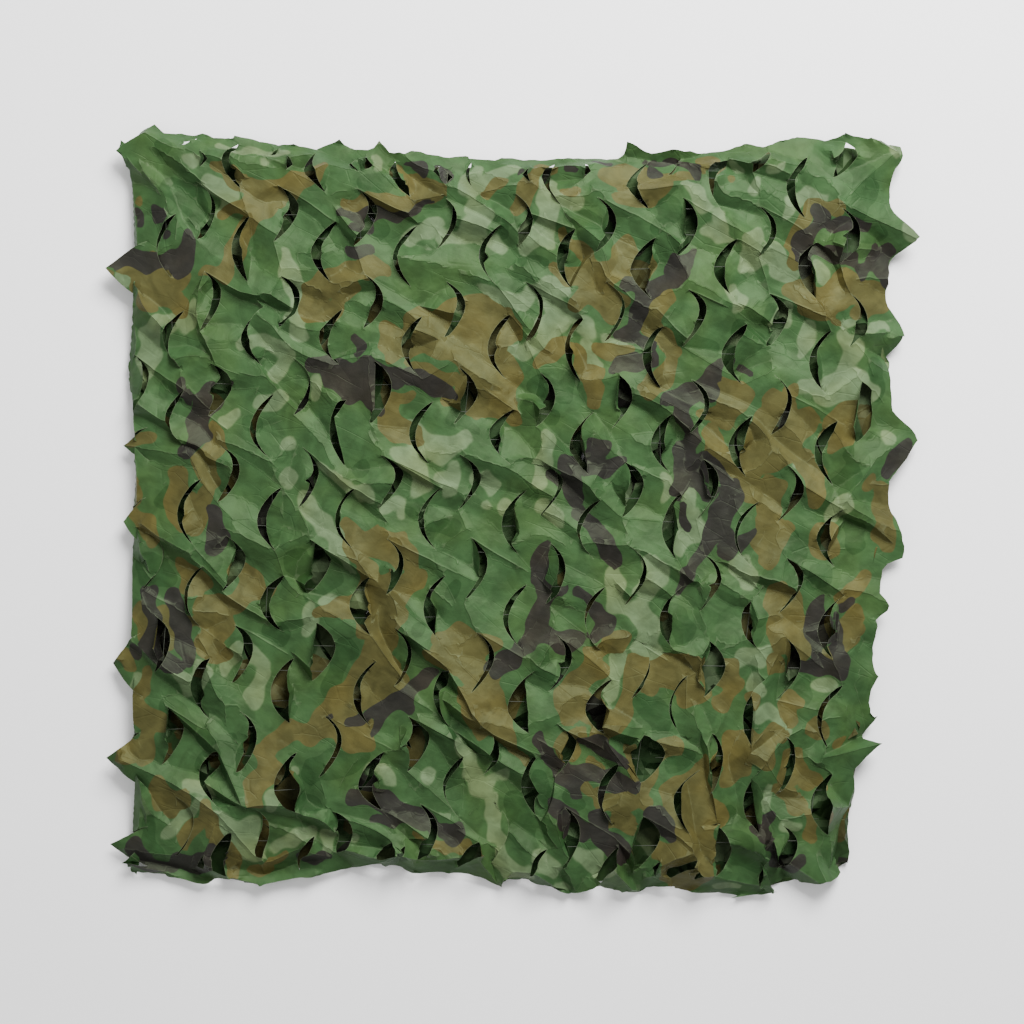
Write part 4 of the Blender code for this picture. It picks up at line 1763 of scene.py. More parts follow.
@dataclass(frozen=True)
class StringMesh:
    """Square mesh of thin strings just under the top layer."""

    strip: FoldedStrip
    pitch: float = 0.0362
    pitch_x: float = 0.1210
    radius: float = 0.00035
    sides: int = 5
    step: float = 0.0121
    under: float = 0.0014
    around: float = 0.015
    sway: float = 0.0040
    waves: float = 7.0
    lean: float = 0.022
    half_x: float = 0.450
    half_y: float = 0.425
    seed: int = 21

    def build(self, cloth: CutCloth, places: np.ndarray) -> bpy.types.Object:
        """Build the string mesh.

        Args:
            cloth: The cut cloth.
            places: Where the cloth's points are.

        Returns:
            The string mesh.
        """
        tree = self._top_tree(cloth, places)
        rng = random.Random(self.seed)
        body = bmesh.new()
        columns = int(2 * self.half_x / self.pitch_x)
        rows = int(2 * self.half_y / self.pitch)
        xs = [self.pitch_x * (i - columns / 2) + rng.uniform(-1, 1) * self.sway
              for i in range(columns + 1)]
        ys = [self.pitch * (i - rows / 2) + rng.uniform(-1, 1) * self.sway
              for i in range(rows + 1)]
        for x in xs:
            lean = rng.uniform(-1, 1) * self.lean
            for run in self._runs((x - lean, ys[0]), (x + lean, ys[-1]), tree, rng):
                self._string(body, run)
        for y in ys:
            for run in self._runs((xs[0], y), (xs[-1], y), tree, rng):
                self._string(body, run)
        mesh = bpy.data.meshes.new("net_string_mesh")
        body.to_mesh(mesh)
        body.free()
        mesh.shade_smooth()
        strings = bpy.data.objects.new("net_string_mesh", mesh)
        bpy.context.scene.collection.objects.link(strings)
        return strings

    def _top_tree(self, cloth: CutCloth, places: np.ndarray) -> KDTree:
        """Search tree of the top layer, seen from above.

        Args:
            cloth: The cut cloth.
            places: Where its points are.

        Returns:
            The tree, which gives a place's height in micrometres.
        """
        top = places[cloth.t > self.strip.top_start]
        tree = KDTree(len(top))
        for x, y, z in top.tolist():
            tree.insert((x, y, 0.0), int(z * 1e6))
        tree.balance()
        return tree

    def _under(self, tree: KDTree, x: float, y: float) -> Vector | None:
        """Find the place just under the lowest cloth around.

        Args:
            tree: Search tree of the top layer.
            x: Place across.
            y: Place along.

        Returns:
            The place, or None beyond the cloth.
        """
        near = tree.find_range((x, y, 0.0), self.around)
        if not near:
            return None
        return Vector((x, y, min(index for _, index, _ in near) * 1e-6 - self.under))

    def _runs(self, start: tuple[float, float], end: tuple[float, float], tree: KDTree,
              rng: random.Random) -> Iterator[list[Vector]]:
        """Lay one string under the cloth, swaying a little.

        Args:
            start: Where the string starts.
            end: Where it ends.
            tree: Search tree of the top layer.
            rng: Random draws.

        Yields:
            Its runs, broken where there is no cloth above.
        """
        count = round(math.dist(start, end) / self.step)
        phase = rng.uniform(0, 2 * math.pi)
        run: list[Vector] = []
        for i in range(count + 2):
            part = i / count
            shift = self.sway * math.sin(phase + self.waves * part)
            level = start[1] == end[1]
            x = start[0] + (end[0] - start[0]) * part + (0.0 if level else 2 * shift)
            y = start[1] + (end[1] - start[1]) * part + (shift if level else 0.0)
            x = float(self.strip.place(np.array([self.strip.strip_t(x)]), np.array([y]))[0, 0])
            place = self._under(tree, x, y) if i <= count else None
            if place is not None:
                run.append(place)
            elif len(run) > 2:
                heights = [spot.z for spot in run]
                for k in range(1, len(run) - 1):
                    run[k].z = sum(heights[k - 1:k + 2]) / 3
                yield run
                run = []
            else:
                run = []

    def _string(self, body: bmesh.types.BMesh, run: list[Vector]) -> None:
        """Add one thin tube.

        Args:
            body: The mesh to add it to.
            run: Places along the tube.
        """
        rings = []
        for i, place in enumerate(run):
            ahead = (run[min(i + 1, len(run) - 1)] - run[max(i - 1, 0)]).normalized()
            side = ahead.cross(Vector((0.0, 0.0, 1.0))).normalized()
            up = side.cross(ahead)
            rings.append([body.verts.new(
                place + self.radius * (side * math.cos(turn) + up * math.sin(turn)))
                for turn in (2 * math.pi * k / self.sides for k in range(self.sides))])
        for ring, following in zip(rings, rings[1:]):
            for k in range(self.sides):
                after = (k + 1) % self.sides
                body.faces.new((ring[k], following[k], following[after], ring[after]))
        body.faces.new(rings[0])
        body.faces.new(rings[-1][::-1])


# ---------------------------------------------------------------------------
# Woodland print
# ---------------------------------------------------------------------------


@dataclass(frozen=True)
class WoodlandPrint:
    """Generic woodland print: tapered strokes of four inks, with soft joins. The darker
    green strokes are partly painted shade, laid where folds fall into shade.

    The strokes are charted in chart steps of 1.25 mm, right and down from the
    top left. Each is a run of places, given by three numbers: how far right, how far
    down, and half the stroke's width there.
    """

    strokes: dict[Ink, tuple[tuple[float, ...], ...]]
    step: float = 0.00125
    centre: float = 511.5
    repeat: float = 0.92
    join: float = 1.8
    reach: float = 12.0
    deepest: float = 40.0
    waver: float = 1.4

    def depths(self, strip: FoldedStrip, cloth: CutCloth) -> dict[Ink, np.ndarray]:
        """How deep inside each ink every point lies, in metres.

        Args:
            strip: The folded strip.
            cloth: The cut cloth.

        Returns:
            For each ink, a depth that is positive within it.
        """
        x = strip.chart_x(cloth.t)
        turn = np.floor((x - strip.left_x) / self.repeat)
        turn = np.where(cloth.t > strip.left_bend, 0.0, turn)
        across = (x - turn * self.repeat) / self.step + self.centre
        down = self.centre - cloth.y / self.step
        across, down = (
            across + self.waver * (np.sin(down / 7.3 + 1) + np.sin(down / 4.1 + across / 9)),
            down + self.waver * (np.sin(across / 6.7 + 2) + np.sin(across / 4.4 - down / 8)))
        return {ink: self._depth(across, down, self.strokes[ink]) for ink in Ink}

    def _depth(self, across: np.ndarray, down: np.ndarray,
               strokes: tuple[tuple[float, ...], ...]) -> np.ndarray:
        """Depth inside the joined strokes of one ink.

        Args:
            across: Places in chart steps, rightwards.
            down: Places in chart steps, downwards.
            strokes: The ink's strokes.

        Returns:
            The depth of each place, in metres.
        """
        total = np.full(len(across), math.exp(-self.reach / self.join))
        for stroke in strokes:
            run = [stroke[first:first + 3] for first in range(0, len(stroke), 3)]
            for a, b in zip(run, run[1:] or run):
                reach = self.reach + max(a[2], b[2])
                near = np.flatnonzero(
                    (across > min(a[0], b[0]) - reach) & (across < max(a[0], b[0]) + reach)
                    & (down > min(a[1], b[1]) - reach) & (down < max(a[1], b[1]) + reach))
                part, gap = beside(across[near], down[near], a, b)
                depth = a[2] + part * (b[2] - a[2]) - gap
                total[near] += np.exp(np.minimum(depth, self.deepest) / self.join)
        return self.join * np.log(total) * self.step


PRINT_CHART = {
    # Darker green strokes: partly print, partly painted shade laid where folds fall into shade.
    Ink.DEEP_AND_SHADE: (
        (165, 150, 9), (175, 190, 13, 195, 200, 14, 200, 215, 10), (170, 390, 11),
        (365, 180, 9, 385, 185, 8), (378, 230, 10), (498, 222, 8, 500, 236, 7),
        (575, 220, 10, 600, 222, 9), (520, 260, 7, 540, 268, 7), (500, 284, 5, 518, 286, 6),
        (420, 315, 8, 435, 322, 7), (535, 380, 10, 560, 390, 10, 570, 375, 7),
        (850, 165, 11, 865, 190, 12, 850, 210, 10), (860, 232, 10, 878, 235, 8),
        (770, 305, 6, 768, 320, 6), (680, 335, 10, 700, 348, 9, 715, 352, 7),
        (875, 370, 10, 872, 395, 9), (150, 570, 18, 165, 578, 12), (165, 500, 10),
        (220, 560, 10), (300, 560, 14, 325, 580, 14, 310, 598, 8), (275, 630, 10, 285, 642, 9),
        (345, 650, 12), (250, 425, 9), (455, 420, 8, 475, 430, 6), (525, 405, 8, 550, 415, 9),
        (410, 505, 9, 430, 520, 11, 450, 530, 9), (365, 465, 9), (455, 590, 9), (528, 500, 9),
        (545, 655, 11, 550, 670, 12), (420, 630, 8), (850, 470, 10, 835, 488, 11, 825, 502, 9),
        (865, 440, 12, 845, 455, 8), (795, 545, 12, 805, 556, 10),
        (855, 530, 12, 860, 545, 10), (680, 615, 14, 690, 630, 12), (825, 578, 14),
        (765, 605, 8, 765, 625, 7), (703, 575, 8), (175, 710, 14, 190, 725, 11),
        (215, 740, 14, 235, 742, 12, 210, 765, 12), (315, 765, 12, 345, 760, 12, 362, 755, 10),
        (300, 800, 10, 315, 795, 10), (145, 815, 6, 145, 840, 8, 155, 860, 7),
        (335, 665, 10, 330, 690, 9), (515, 805, 12, 525, 830, 14, 535, 848, 10),
        (540, 780, 12, 550, 800, 8), (550, 825, 9, 572, 836, 9), (455, 735, 9, 480, 745, 8),
        (575, 795, 6, 586, 808, 7), (375, 862, 8, 395, 862, 6),
        (650, 700, 13, 665, 712, 11, 665, 726, 10), (750, 830, 9, 768, 838, 9),
        (755, 855, 12, 775, 862, 12, 792, 860, 8), (675, 765, 9, 690, 752, 7),
        (822, 685, 9, 825, 697, 8), (745, 808, 10, 740, 825, 8),
        (655, 200, 8, 670, 215, 10, 660, 228, 8), (740, 330, 9, 755, 340, 8),
    ),
    Ink.PALE: (
        (112, 274, 5, 128, 277, 8), (210, 182, 6, 226, 187, 9, 235, 196, 9),
        (228, 205, 6, 218, 212, 4), (286, 250, 4, 290, 266, 8, 302, 285, 9),
        (302, 292, 7, 300, 306, 5), (196, 302, 6, 192, 314, 8, 185, 322, 5),
        (178, 314, 5, 160, 320, 7, 148, 336, 11, 148, 355, 12, 152, 370, 6),
        (300, 318, 9, 302, 336, 9), (242, 345, 6, 262, 340, 6, 282, 352, 8),
        (292, 360, 7, 284, 368, 7, 274, 380, 6), (318, 380, 5, 314, 396, 7),
        (222, 142, 4, 242, 145, 4, 284, 147, 4), (190, 158, 6, 197, 163, 5), (262, 160, 5),
        (474, 166, 7, 466, 178, 6, 462, 190, 4),
        (515, 165, 5, 498, 170, 6, 482, 178, 6, 470, 192, 6),
        (470, 208, 9, 482, 216, 9, 466, 226, 9, 478, 231, 7),
        (408, 236, 7, 425, 228, 8, 438, 222, 6), (440, 236, 7, 475, 239, 6),
        (488, 241, 7, 495, 250, 6), (548, 182, 7, 550, 198, 10, 550, 212, 11),
        (545, 228, 12, 530, 240, 10, 518, 249, 7), (548, 243, 9),
        (555, 193, 5, 568, 198, 7, 582, 204, 6), (480, 288, 6, 492, 298, 7),
        (505, 303, 9, 525, 300, 8, 531, 292, 7), (545, 290, 10, 562, 286, 10),
        (550, 305, 11, 560, 318, 11, 545, 326, 10), (575, 318, 8, 590, 328, 9),
        (495, 352, 5, 515, 350, 7, 535, 342, 8, 550, 332, 8),
        (585, 345, 7, 590, 358, 7, 598, 362, 5), (605, 338, 5, 623, 343, 6),
        (732, 156, 6, 735, 162, 6), (766, 165, 6, 778, 161, 4), (755, 178, 5, 751, 189, 5),
        (682, 184, 5, 693, 193, 7, 700, 208, 8), (716, 216, 8, 722, 230, 6),
        (705, 230, 5, 720, 239, 6, 733, 238, 3),
        (786, 210, 6, 791, 198, 6, 806, 192, 6, 822, 194, 4),
        (762, 230, 7, 750, 245, 9, 738, 256, 8), (755, 262, 7, 737, 268, 6),
        (774, 246, 8, 768, 258, 9, 776, 271, 9, 791, 280, 5),
        (728, 288, 6, 734, 303, 8, 735, 310, 6), (808, 266, 6, 820, 276, 8),
        (780, 308, 6, 781, 322, 7), (806, 330, 8, 800, 346, 7, 797, 356, 5),
        (840, 340, 8, 850, 352, 10, 843, 366, 9), (845, 328, 5, 885, 326, 6),
        (800, 390, 7, 815, 386, 8, 835, 381, 9, 856, 379, 9, 868, 392, 6),
        (896, 142, 9, 886, 150, 7), (905, 226, 6, 914, 237, 5), (260, 405, 8, 280, 400, 8),
        (225, 420, 6, 236, 415, 6), (285, 445, 8), (288, 478, 10),
        (320, 465, 4, 340, 478, 6, 355, 486, 5),
        (305, 500, 9, 325, 522, 9, 340, 546, 8, 350, 572, 5), (308, 610, 7, 308, 631, 7),
        (325, 602, 7, 341, 606, 5), (230, 665, 8, 250, 652, 8, 264, 660, 8), (362, 495, 7),
        (414, 425, 6, 424, 444, 12, 444, 450, 13, 465, 440, 7),
        (400, 450, 8, 415, 465, 12, 420, 484, 10, 415, 496, 6),
        (445, 480, 10, 450, 492, 8, 458, 470, 6), (480, 480, 9, 489, 491, 7),
        (545, 437, 8, 543, 460, 8, 538, 485, 8), (545, 512, 10, 556, 520, 9), (505, 512, 8),
        (487, 508, 5), (366, 490, 9, 373, 500, 6), (385, 510, 5, 399, 503, 5, 404, 518, 4),
        (614, 570, 7, 620, 590, 11), (620, 605, 9, 636, 610, 6),
        (625, 650, 8, 620, 668, 8, 614, 690, 7), (610, 705, 6, 608, 716, 4),
        (693, 470, 5, 690, 490, 7, 692, 506, 7), (700, 515, 6, 690, 530, 12, 680, 545, 10),
        (702, 532, 9), (655, 560, 9, 660, 575, 12, 650, 590, 10), (746, 565, 12, 755, 580, 12),
        (645, 612, 12, 655, 630, 12, 650, 650, 11, 664, 656, 9), (797, 465, 5),
        (815, 395, 8, 834, 400, 6), (850, 396, 12, 866, 395, 9), (886, 440, 8),
        (846, 500, 10, 835, 515, 8), (750, 660, 8, 768, 658, 10), (780, 654, 7),
        (665, 480, 5, 668, 500, 6), (180, 670, 5, 190, 680, 8), (195, 690, 7, 206, 670, 8),
        (265, 675, 9, 258, 695, 8, 257, 703, 6), (295, 765, 6), (137, 675, 5, 132, 690, 4),
        (190, 785, 6, 206, 790, 8), (165, 835, 6, 184, 815, 7, 200, 805, 5),
        (220, 820, 9, 235, 835, 14), (245, 855, 10, 256, 830, 10, 232, 856, 7),
        (280, 790, 9, 275, 800, 7), (270, 845, 5, 290, 842, 7, 315, 832, 6),
        (320, 855, 6, 332, 840, 8), (350, 835, 6), (375, 768, 7, 386, 780, 8), (425, 778, 8),
        (460, 745, 7, 464, 756, 8, 470, 775, 9, 476, 790, 9, 490, 786, 7),
        (488, 802, 7, 492, 816, 7, 494, 836, 7, 500, 846, 6), (503, 778, 8),
        (500, 856, 9, 512, 872, 10, 530, 876, 9), (545, 860, 10, 560, 866, 9),
        (590, 855, 8, 605, 860, 10, 612, 873, 7), (565, 886, 6, 576, 888, 4),
        (656, 655, 9, 665, 661, 7), (765, 683, 9, 775, 690, 7),
        (770, 712, 8, 786, 710, 7, 800, 722, 6, 810, 730, 4), (838, 685, 7, 851, 685, 6),
        (725, 755, 6, 723, 770, 5), (820, 822, 6, 831, 825, 5), (735, 888, 5, 752, 890, 4),
        (800, 790, 5, 795, 805, 6), (375, 150, 4, 374, 166, 6),
    ),
    Ink.BROWN: (
        (688, 795, 20, 712, 845, 25, 702, 884, 19), (480, 665, 15, 504, 704, 14, 516, 742, 8),
        (640, 668, 11, 690, 674, 15, 736, 668, 12), (418, 322, 15, 468, 350, 19, 500, 374, 15),
        (231, 172, 5, 245, 182, 8, 262, 190, 11, 286, 187, 12, 306, 175, 9),
        (312, 170, 8, 317, 166, 5), (262, 201, 9, 280, 203, 10, 262, 212, 7),
        (222, 212, 4, 240, 207, 5, 255, 206, 6), (250, 225, 7, 230, 252, 7),
        (262, 212, 7, 250, 225, 7), (230, 252, 6, 226, 272, 7, 204, 270, 3),
        (218, 166, 5, 228, 165, 5), (345, 203, 5, 372, 202, 7), (133, 200, 4),
        (118, 268, 3, 140, 272, 7, 165, 272, 9, 185, 276, 8), (150, 252, 3),
        (140, 286, 8, 168, 290, 12, 182, 302, 9), (135, 300, 6, 150, 306, 6),
        (366, 262, 9, 350, 270, 9, 330, 280, 10, 318, 290, 12, 311, 302, 11),
        (340, 290, 10, 355, 286, 9), (310, 312, 7, 326, 312, 7, 340, 308, 6),
        (398, 172, 5, 412, 180, 10, 425, 188, 11, 438, 190, 8), (394, 160, 4),
        (366, 197, 6, 385, 202, 8, 406, 203, 9, 425, 197, 7), (375, 268, 10, 386, 268, 6),
        (487, 189, 6, 498, 182, 6, 505, 179, 3),
        (552, 163, 3, 538, 168, 7, 531, 182, 8, 525, 198, 8, 518, 206, 6),
        (566, 189, 3, 578, 192, 4), (564, 229, 4, 573, 248, 6, 584, 258, 7),
        (552, 268, 5, 568, 275, 8, 586, 277, 10, 610, 272, 10, 638, 268, 10),
        (628, 243, 7, 618, 255, 7, 634, 256, 7), (575, 303, 9, 586, 298, 8),
        (595, 298, 8, 612, 308, 8, 618, 318, 6), (606, 290, 8, 622, 302, 7),
        (594, 345, 5, 612, 350, 6, 628, 350, 5), (388, 330, 9, 384, 346, 8),
        (392, 356, 8, 405, 340, 10, 430, 345, 11, 455, 346, 10, 470, 353, 6),
        (440, 310, 6, 460, 305, 8, 478, 304, 8, 492, 311, 5),
        (446, 325, 9, 465, 322, 10, 480, 326, 8, 503, 320, 8, 512, 330, 8),
        (500, 339, 7, 487, 342, 8), (535, 360, 5, 548, 350, 8, 563, 342, 7),
        (572, 345, 6, 578, 360, 7, 582, 373, 5), (588, 372, 8, 601, 371, 7),
        (595, 386, 9, 594, 400, 8), (470, 370, 9, 490, 366, 8, 510, 373, 10),
        (470, 388, 11, 486, 386, 12, 505, 389, 8), (410, 364, 4, 452, 380, 6),
        (395, 397, 5, 410, 398, 4), (607, 170, 9, 625, 170, 13, 641, 173, 12),
        (620, 200, 6, 645, 202, 7), (632, 188, 8, 646, 190, 9, 661, 189, 8),
        (702, 158, 6, 712, 155, 6, 706, 168, 6), (645, 175, 6, 690, 173, 5), (725, 172, 3),
        (804, 203, 5, 816, 199, 4, 833, 206, 5, 838, 212, 3),
        (803, 214, 5, 795, 230, 5, 789, 246, 4, 788, 262, 4, 792, 272, 3),
        (785, 290, 7, 796, 296, 10, 815, 300, 12, 836, 291, 12, 852, 286, 12),
        (801, 312, 8, 820, 312, 9, 838, 305, 9), (838, 276, 7, 870, 288, 9),
        (880, 292, 7, 884, 302, 8, 864, 306, 9), (836, 322, 5, 843, 325, 3),
        (665, 298, 9, 655, 310, 9, 655, 326, 9, 665, 337, 10, 672, 351, 7),
        (668, 368, 10, 660, 380, 11, 648, 390, 9), (722, 386, 8, 737, 394, 9), (790, 392, 6),
        (642, 266, 6), (215, 430, 6, 215, 446, 12), (205, 466, 14, 212, 480, 10),
        (175, 480, 10, 180, 505, 13, 185, 523, 8), (205, 497, 9, 196, 526, 9),
        (135, 515, 7, 148, 526, 10, 153, 541, 7), (125, 443, 3, 145, 436, 6),
        (130, 485, 4, 135, 500, 4), (185, 565, 8, 195, 581, 12, 210, 583, 6),
        (205, 605, 9, 238, 604, 10), (245, 570, 8, 255, 586, 13, 246, 601, 9),
        (205, 620, 7, 225, 626, 13), (215, 646, 14, 231, 651, 10),
        (165, 615, 9, 173, 641, 8, 190, 620, 6), (142, 610, 9, 150, 631, 8),
        (122, 655, 8, 128, 666, 7),
        (345, 525, 6, 360, 546, 12, 374, 543, 12, 396, 546, 13, 412, 561, 10),
        (315, 615, 4, 345, 611, 10, 368, 604, 14), (420, 581, 9, 396, 592, 15),
        (375, 600, 15, 370, 572, 12), (400, 616, 10, 365, 630, 12),
        (385, 405, 10, 396, 425, 12, 411, 431, 8, 415, 441, 5),
        (450, 401, 7, 475, 405, 12, 500, 401, 13, 512, 416, 8),
        (445, 636, 8, 465, 631, 9, 480, 641, 11, 500, 643, 7),
        (435, 655, 9, 456, 655, 13, 480, 661, 13, 496, 670, 9),
        (390, 641, 12, 374, 661, 15, 390, 672, 13, 374, 692, 13), (400, 681, 8, 366, 701, 8),
        (615, 635, 8, 626, 641, 8, 605, 646, 6),
        (595, 655, 9, 600, 665, 10, 581, 681, 11, 571, 692, 11, 576, 711, 12),
        (590, 698, 11, 601, 713, 12, 616, 721, 12, 610, 736, 10),
        (625, 712, 8, 636, 681, 6, 637, 660, 6), (574, 741, 10, 576, 756, 8), (586, 736, 9),
        (465, 691, 8, 485, 695, 11, 491, 706, 9), (470, 708, 7, 481, 721, 8, 490, 731, 6),
        (500, 721, 5, 511, 736, 6), (511, 736, 6, 529, 763, 3), (508, 711, 8, 513, 721, 4),
        (597, 765, 5, 607, 771, 4), (587, 785, 6, 596, 791, 5),
        (610, 799, 9, 626, 801, 10, 636, 801, 7), (625, 821, 8, 638, 823, 9),
        (363, 726, 9, 371, 741, 7), (418, 834, 3, 440, 846, 4, 462, 848, 7),
        (725, 396, 9, 741, 401, 10, 725, 416, 11, 706, 416, 5),
        (710, 436, 9, 716, 451, 10, 731, 466, 12, 746, 481, 11, 756, 496, 11),
        (746, 441, 14, 766, 431, 15, 781, 411, 11, 771, 400, 8),
        (761, 461, 15, 781, 451, 14, 791, 431, 14, 806, 421, 12),
        (836, 421, 12, 851, 411, 10, 846, 431, 9, 826, 441, 9),
        (806, 461, 11, 813, 476, 10, 816, 500, 8), (776, 491, 14, 776, 511, 12),
        (766, 526, 8, 791, 531, 6), (766, 541, 11, 781, 541, 10, 776, 558, 9),
        (826, 531, 10, 826, 546, 9, 836, 553, 9), (869, 481, 7),
        (886, 491, 9, 891, 511, 10, 886, 536, 10, 894, 546, 8),
        (869, 581, 9, 861, 591, 8, 851, 599, 6), (786, 591, 9, 786, 606, 13),
        (786, 621, 12, 791, 636, 11, 801, 601, 9), (801, 616, 13, 806, 631, 12),
        (796, 646, 10, 816, 646, 11, 812, 657, 9), (856, 631, 9, 866, 616, 10),
        (871, 636, 7, 846, 656, 7), (786, 666, 9, 796, 671, 6),
        (681, 666, 11, 691, 661, 9, 701, 681, 13, 711, 691, 9, 696, 696, 9),
        (656, 681, 7, 661, 688, 4), (736, 676, 7, 746, 686, 7, 731, 702, 8), (766, 699, 8),
        (813, 696, 7, 819, 701, 5), (806, 709, 9, 813, 719, 6),
        (666, 746, 10, 676, 743, 9, 656, 756, 7), (648, 751, 9, 651, 781, 11), (651, 800, 7),
        (746, 736, 8, 766, 741, 13, 786, 746, 13, 791, 761, 9), (791, 731, 8, 806, 736, 7),
        (746, 751, 10, 761, 762, 10, 746, 771, 10), (836, 726, 8, 846, 731, 7),
        (821, 756, 10, 826, 771, 10, 816, 776, 7), (841, 781, 8, 852, 779, 6),
        (711, 761, 9, 701, 776, 11, 691, 791, 13),
        (716, 796, 16, 731, 806, 13, 701, 811, 15, 716, 826, 13),
        (671, 851, 9, 691, 851, 9, 706, 846, 8), (691, 866, 11, 706, 866, 10),
        (691, 881, 8, 711, 861, 7, 723, 853, 4), (808, 788, 5, 826, 791, 4),
        (826, 801, 9, 833, 806, 7), (846, 816, 6, 846, 836, 6), (868, 737, 6),
        (140, 711, 10, 156, 721, 10, 166, 726, 7), (121, 756, 8, 131, 746, 9),
        (146, 751, 11, 151, 736, 8), (145, 670, 4, 146, 686, 6, 136, 699, 5),
        (160, 786, 10, 156, 801, 8, 176, 801, 9, 186, 796, 7), (168, 813, 6),
        (206, 808, 6, 211, 821, 7, 218, 836, 7, 223, 856, 8, 226, 876, 7),
        (196, 826, 7, 181, 839, 7), (276, 741, 9, 291, 731, 9, 306, 729, 8),
        (266, 746, 8, 276, 766, 9, 261, 776, 11, 259, 791, 8),
        (351, 691, 11, 336, 701, 9, 326, 716, 11, 316, 731, 9, 331, 726, 12),
        (351, 736, 10, 366, 741, 9), (346, 711, 10, 359, 666, 7), (265, 858, 5, 281, 857, 4),
        (251, 876, 8, 263, 869, 6),
    ),
    Ink.DARK: (
        (131, 210, 4, 136, 222, 5), (148, 209, 4, 158, 217, 8), (164, 233, 5),
        (190, 232, 5, 184, 250, 9, 180, 265, 11), (106, 267, 3, 128, 256, 9),
        (128, 256, 9, 150, 260, 9, 169, 256, 8), (341, 212, 4, 372, 214, 7),
        (356, 225, 4, 368, 228, 5), (345, 250, 6, 369, 249, 6),
        (372, 214, 6, 395, 215, 4, 415, 208, 3, 431, 200, 2), (412, 163, 4, 421, 168, 6),
        (438, 162, 5, 444, 170, 7, 442, 177, 4), (402, 155, 2, 421, 160, 3),
        (520, 166, 3, 517, 171, 2), (564, 164, 3, 572, 166, 4), (593, 157, 3, 608, 156, 3),
        (630, 286, 7, 655, 286, 8, 673, 282, 8), (690, 252, 5, 684, 261, 8),
        (668, 266, 9, 680, 275, 9), (644, 296, 9, 640, 310, 8, 638, 324, 8),
        (616, 331, 4, 630, 335, 6, 645, 341, 7), (650, 353, 5),
        (618, 363, 8, 632, 362, 9, 651, 362, 5), (352, 336, 4, 358, 352, 6),
        (312, 366, 6, 330, 369, 9, 350, 379, 11, 368, 376, 10, 395, 378, 11),
        (330, 386, 8, 350, 393, 9, 372, 394, 9, 380, 410, 6), (365, 368, 8),
        (415, 378, 11, 432, 385, 9, 450, 393, 6, 459, 398, 3), (186, 381, 6, 188, 395, 6),
        (226, 380, 4, 214, 392, 8, 208, 400, 11), (196, 424, 12, 205, 436, 6),
        (208, 400, 11, 196, 424, 11), (195, 440, 8, 184, 455, 9), (216, 512, 8, 221, 541, 13),
        (150, 592, 9, 157, 620, 7, 155, 641, 9, 170, 660, 10, 182, 665, 7), (137, 651, 8),
        (177, 595, 9, 183, 620, 9, 192, 645, 8, 196, 659, 7), (645, 153, 3, 680, 158, 4),
        (645, 165, 6, 656, 170, 4), (686, 158, 5, 692, 166, 6, 696, 175, 4),
        (815, 207, 8, 821, 216, 8), (836, 223, 8, 851, 222, 7, 865, 225, 5),
        (815, 222, 7, 802, 236, 9), (797, 250, 8, 796, 263, 5),
        (808, 246, 9, 826, 252, 9, 846, 259, 9), (860, 268, 7, 863, 275, 4),
        (871, 247, 5, 872, 262, 7, 885, 272, 9), (890, 250, 6, 882, 256, 9), (888, 285, 5),
        (722, 365, 6, 715, 376, 9), (705, 386, 10, 690, 393, 11, 671, 400, 9), (712, 396, 7),
        (738, 370, 4, 749, 378, 3), (685, 405, 9, 686, 426, 9, 690, 441, 9),
        (681, 456, 12, 690, 471, 13, 676, 494, 8), (706, 461, 7, 721, 476, 9),
        (731, 490, 10, 736, 501, 11, 726, 516, 12, 716, 531, 9), (700, 481, 8, 711, 496, 8),
        (686, 505, 4, 688, 526, 5),
        (718, 532, 8, 711, 547, 7, 704, 558, 6, 692, 571, 7, 685, 589, 5),
        (730, 535, 7, 733, 551, 7, 746, 541, 7, 756, 532, 4),
        (905, 446, 8, 896, 461, 8, 888, 471, 7), (828, 606, 8, 825, 621, 9),
        (821, 626, 7, 832, 641, 6, 833, 657, 6), (862, 602, 4, 850, 609, 4),
        (843, 619, 5, 846, 630, 7, 851, 646, 7, 861, 663, 7),
        (815, 667, 6, 836, 668, 8, 858, 669, 8), (590, 445, 8, 604, 446, 7),
        (565, 461, 9, 585, 463, 10, 606, 466, 9, 623, 461, 6), (590, 452, 6),
        (552, 480, 7, 568, 484, 12, 574, 500, 8), (580, 515, 8, 600, 536, 8),
        (600, 536, 8, 615, 556, 8, 620, 566, 5), (545, 552, 8, 541, 575, 10),
        (548, 591, 9, 566, 587, 4), (548, 600, 8, 536, 621, 10, 530, 641, 11),
        (516, 655, 10, 500, 666, 9), (545, 633, 8, 566, 639, 10, 581, 640, 9),
        (580, 592, 4, 600, 606, 8, 608, 621, 9, 598, 630, 8),
        (436, 675, 5, 425, 681, 8, 405, 696, 9, 381, 708, 6, 362, 717, 4),
        (400, 700, 7, 408, 709, 5), (378, 715, 5, 377, 731, 5),
        (358, 792, 8, 380, 801, 9, 401, 812, 9, 426, 821, 8), (375, 820, 4, 396, 821, 5),
        (441, 829, 8, 456, 832, 7, 448, 841, 7),
        (548, 736, 6, 555, 751, 7, 560, 761, 7, 570, 776, 8, 581, 786, 9),
        (590, 744, 7, 606, 746, 9, 621, 756, 8, 637, 763, 5),
        (580, 776, 8, 601, 776, 7, 621, 781, 8, 640, 786, 8), (585, 798, 6),
        (550, 801, 4, 565, 809, 8, 580, 823, 9, 594, 833, 9),
        (607, 816, 8, 612, 829, 8, 616, 841, 10, 631, 851, 13, 642, 850, 9),
        (655, 808, 6, 666, 816, 9, 676, 826, 9, 681, 833, 7),
        (775, 822, 5, 790, 823, 8, 801, 815, 6), (791, 833, 8, 806, 841, 7),
        (806, 846, 7, 811, 856, 6), (811, 868, 8, 826, 872, 8, 838, 862, 7),
        (130, 846, 10, 134, 856, 10, 146, 868, 7, 166, 871, 7),
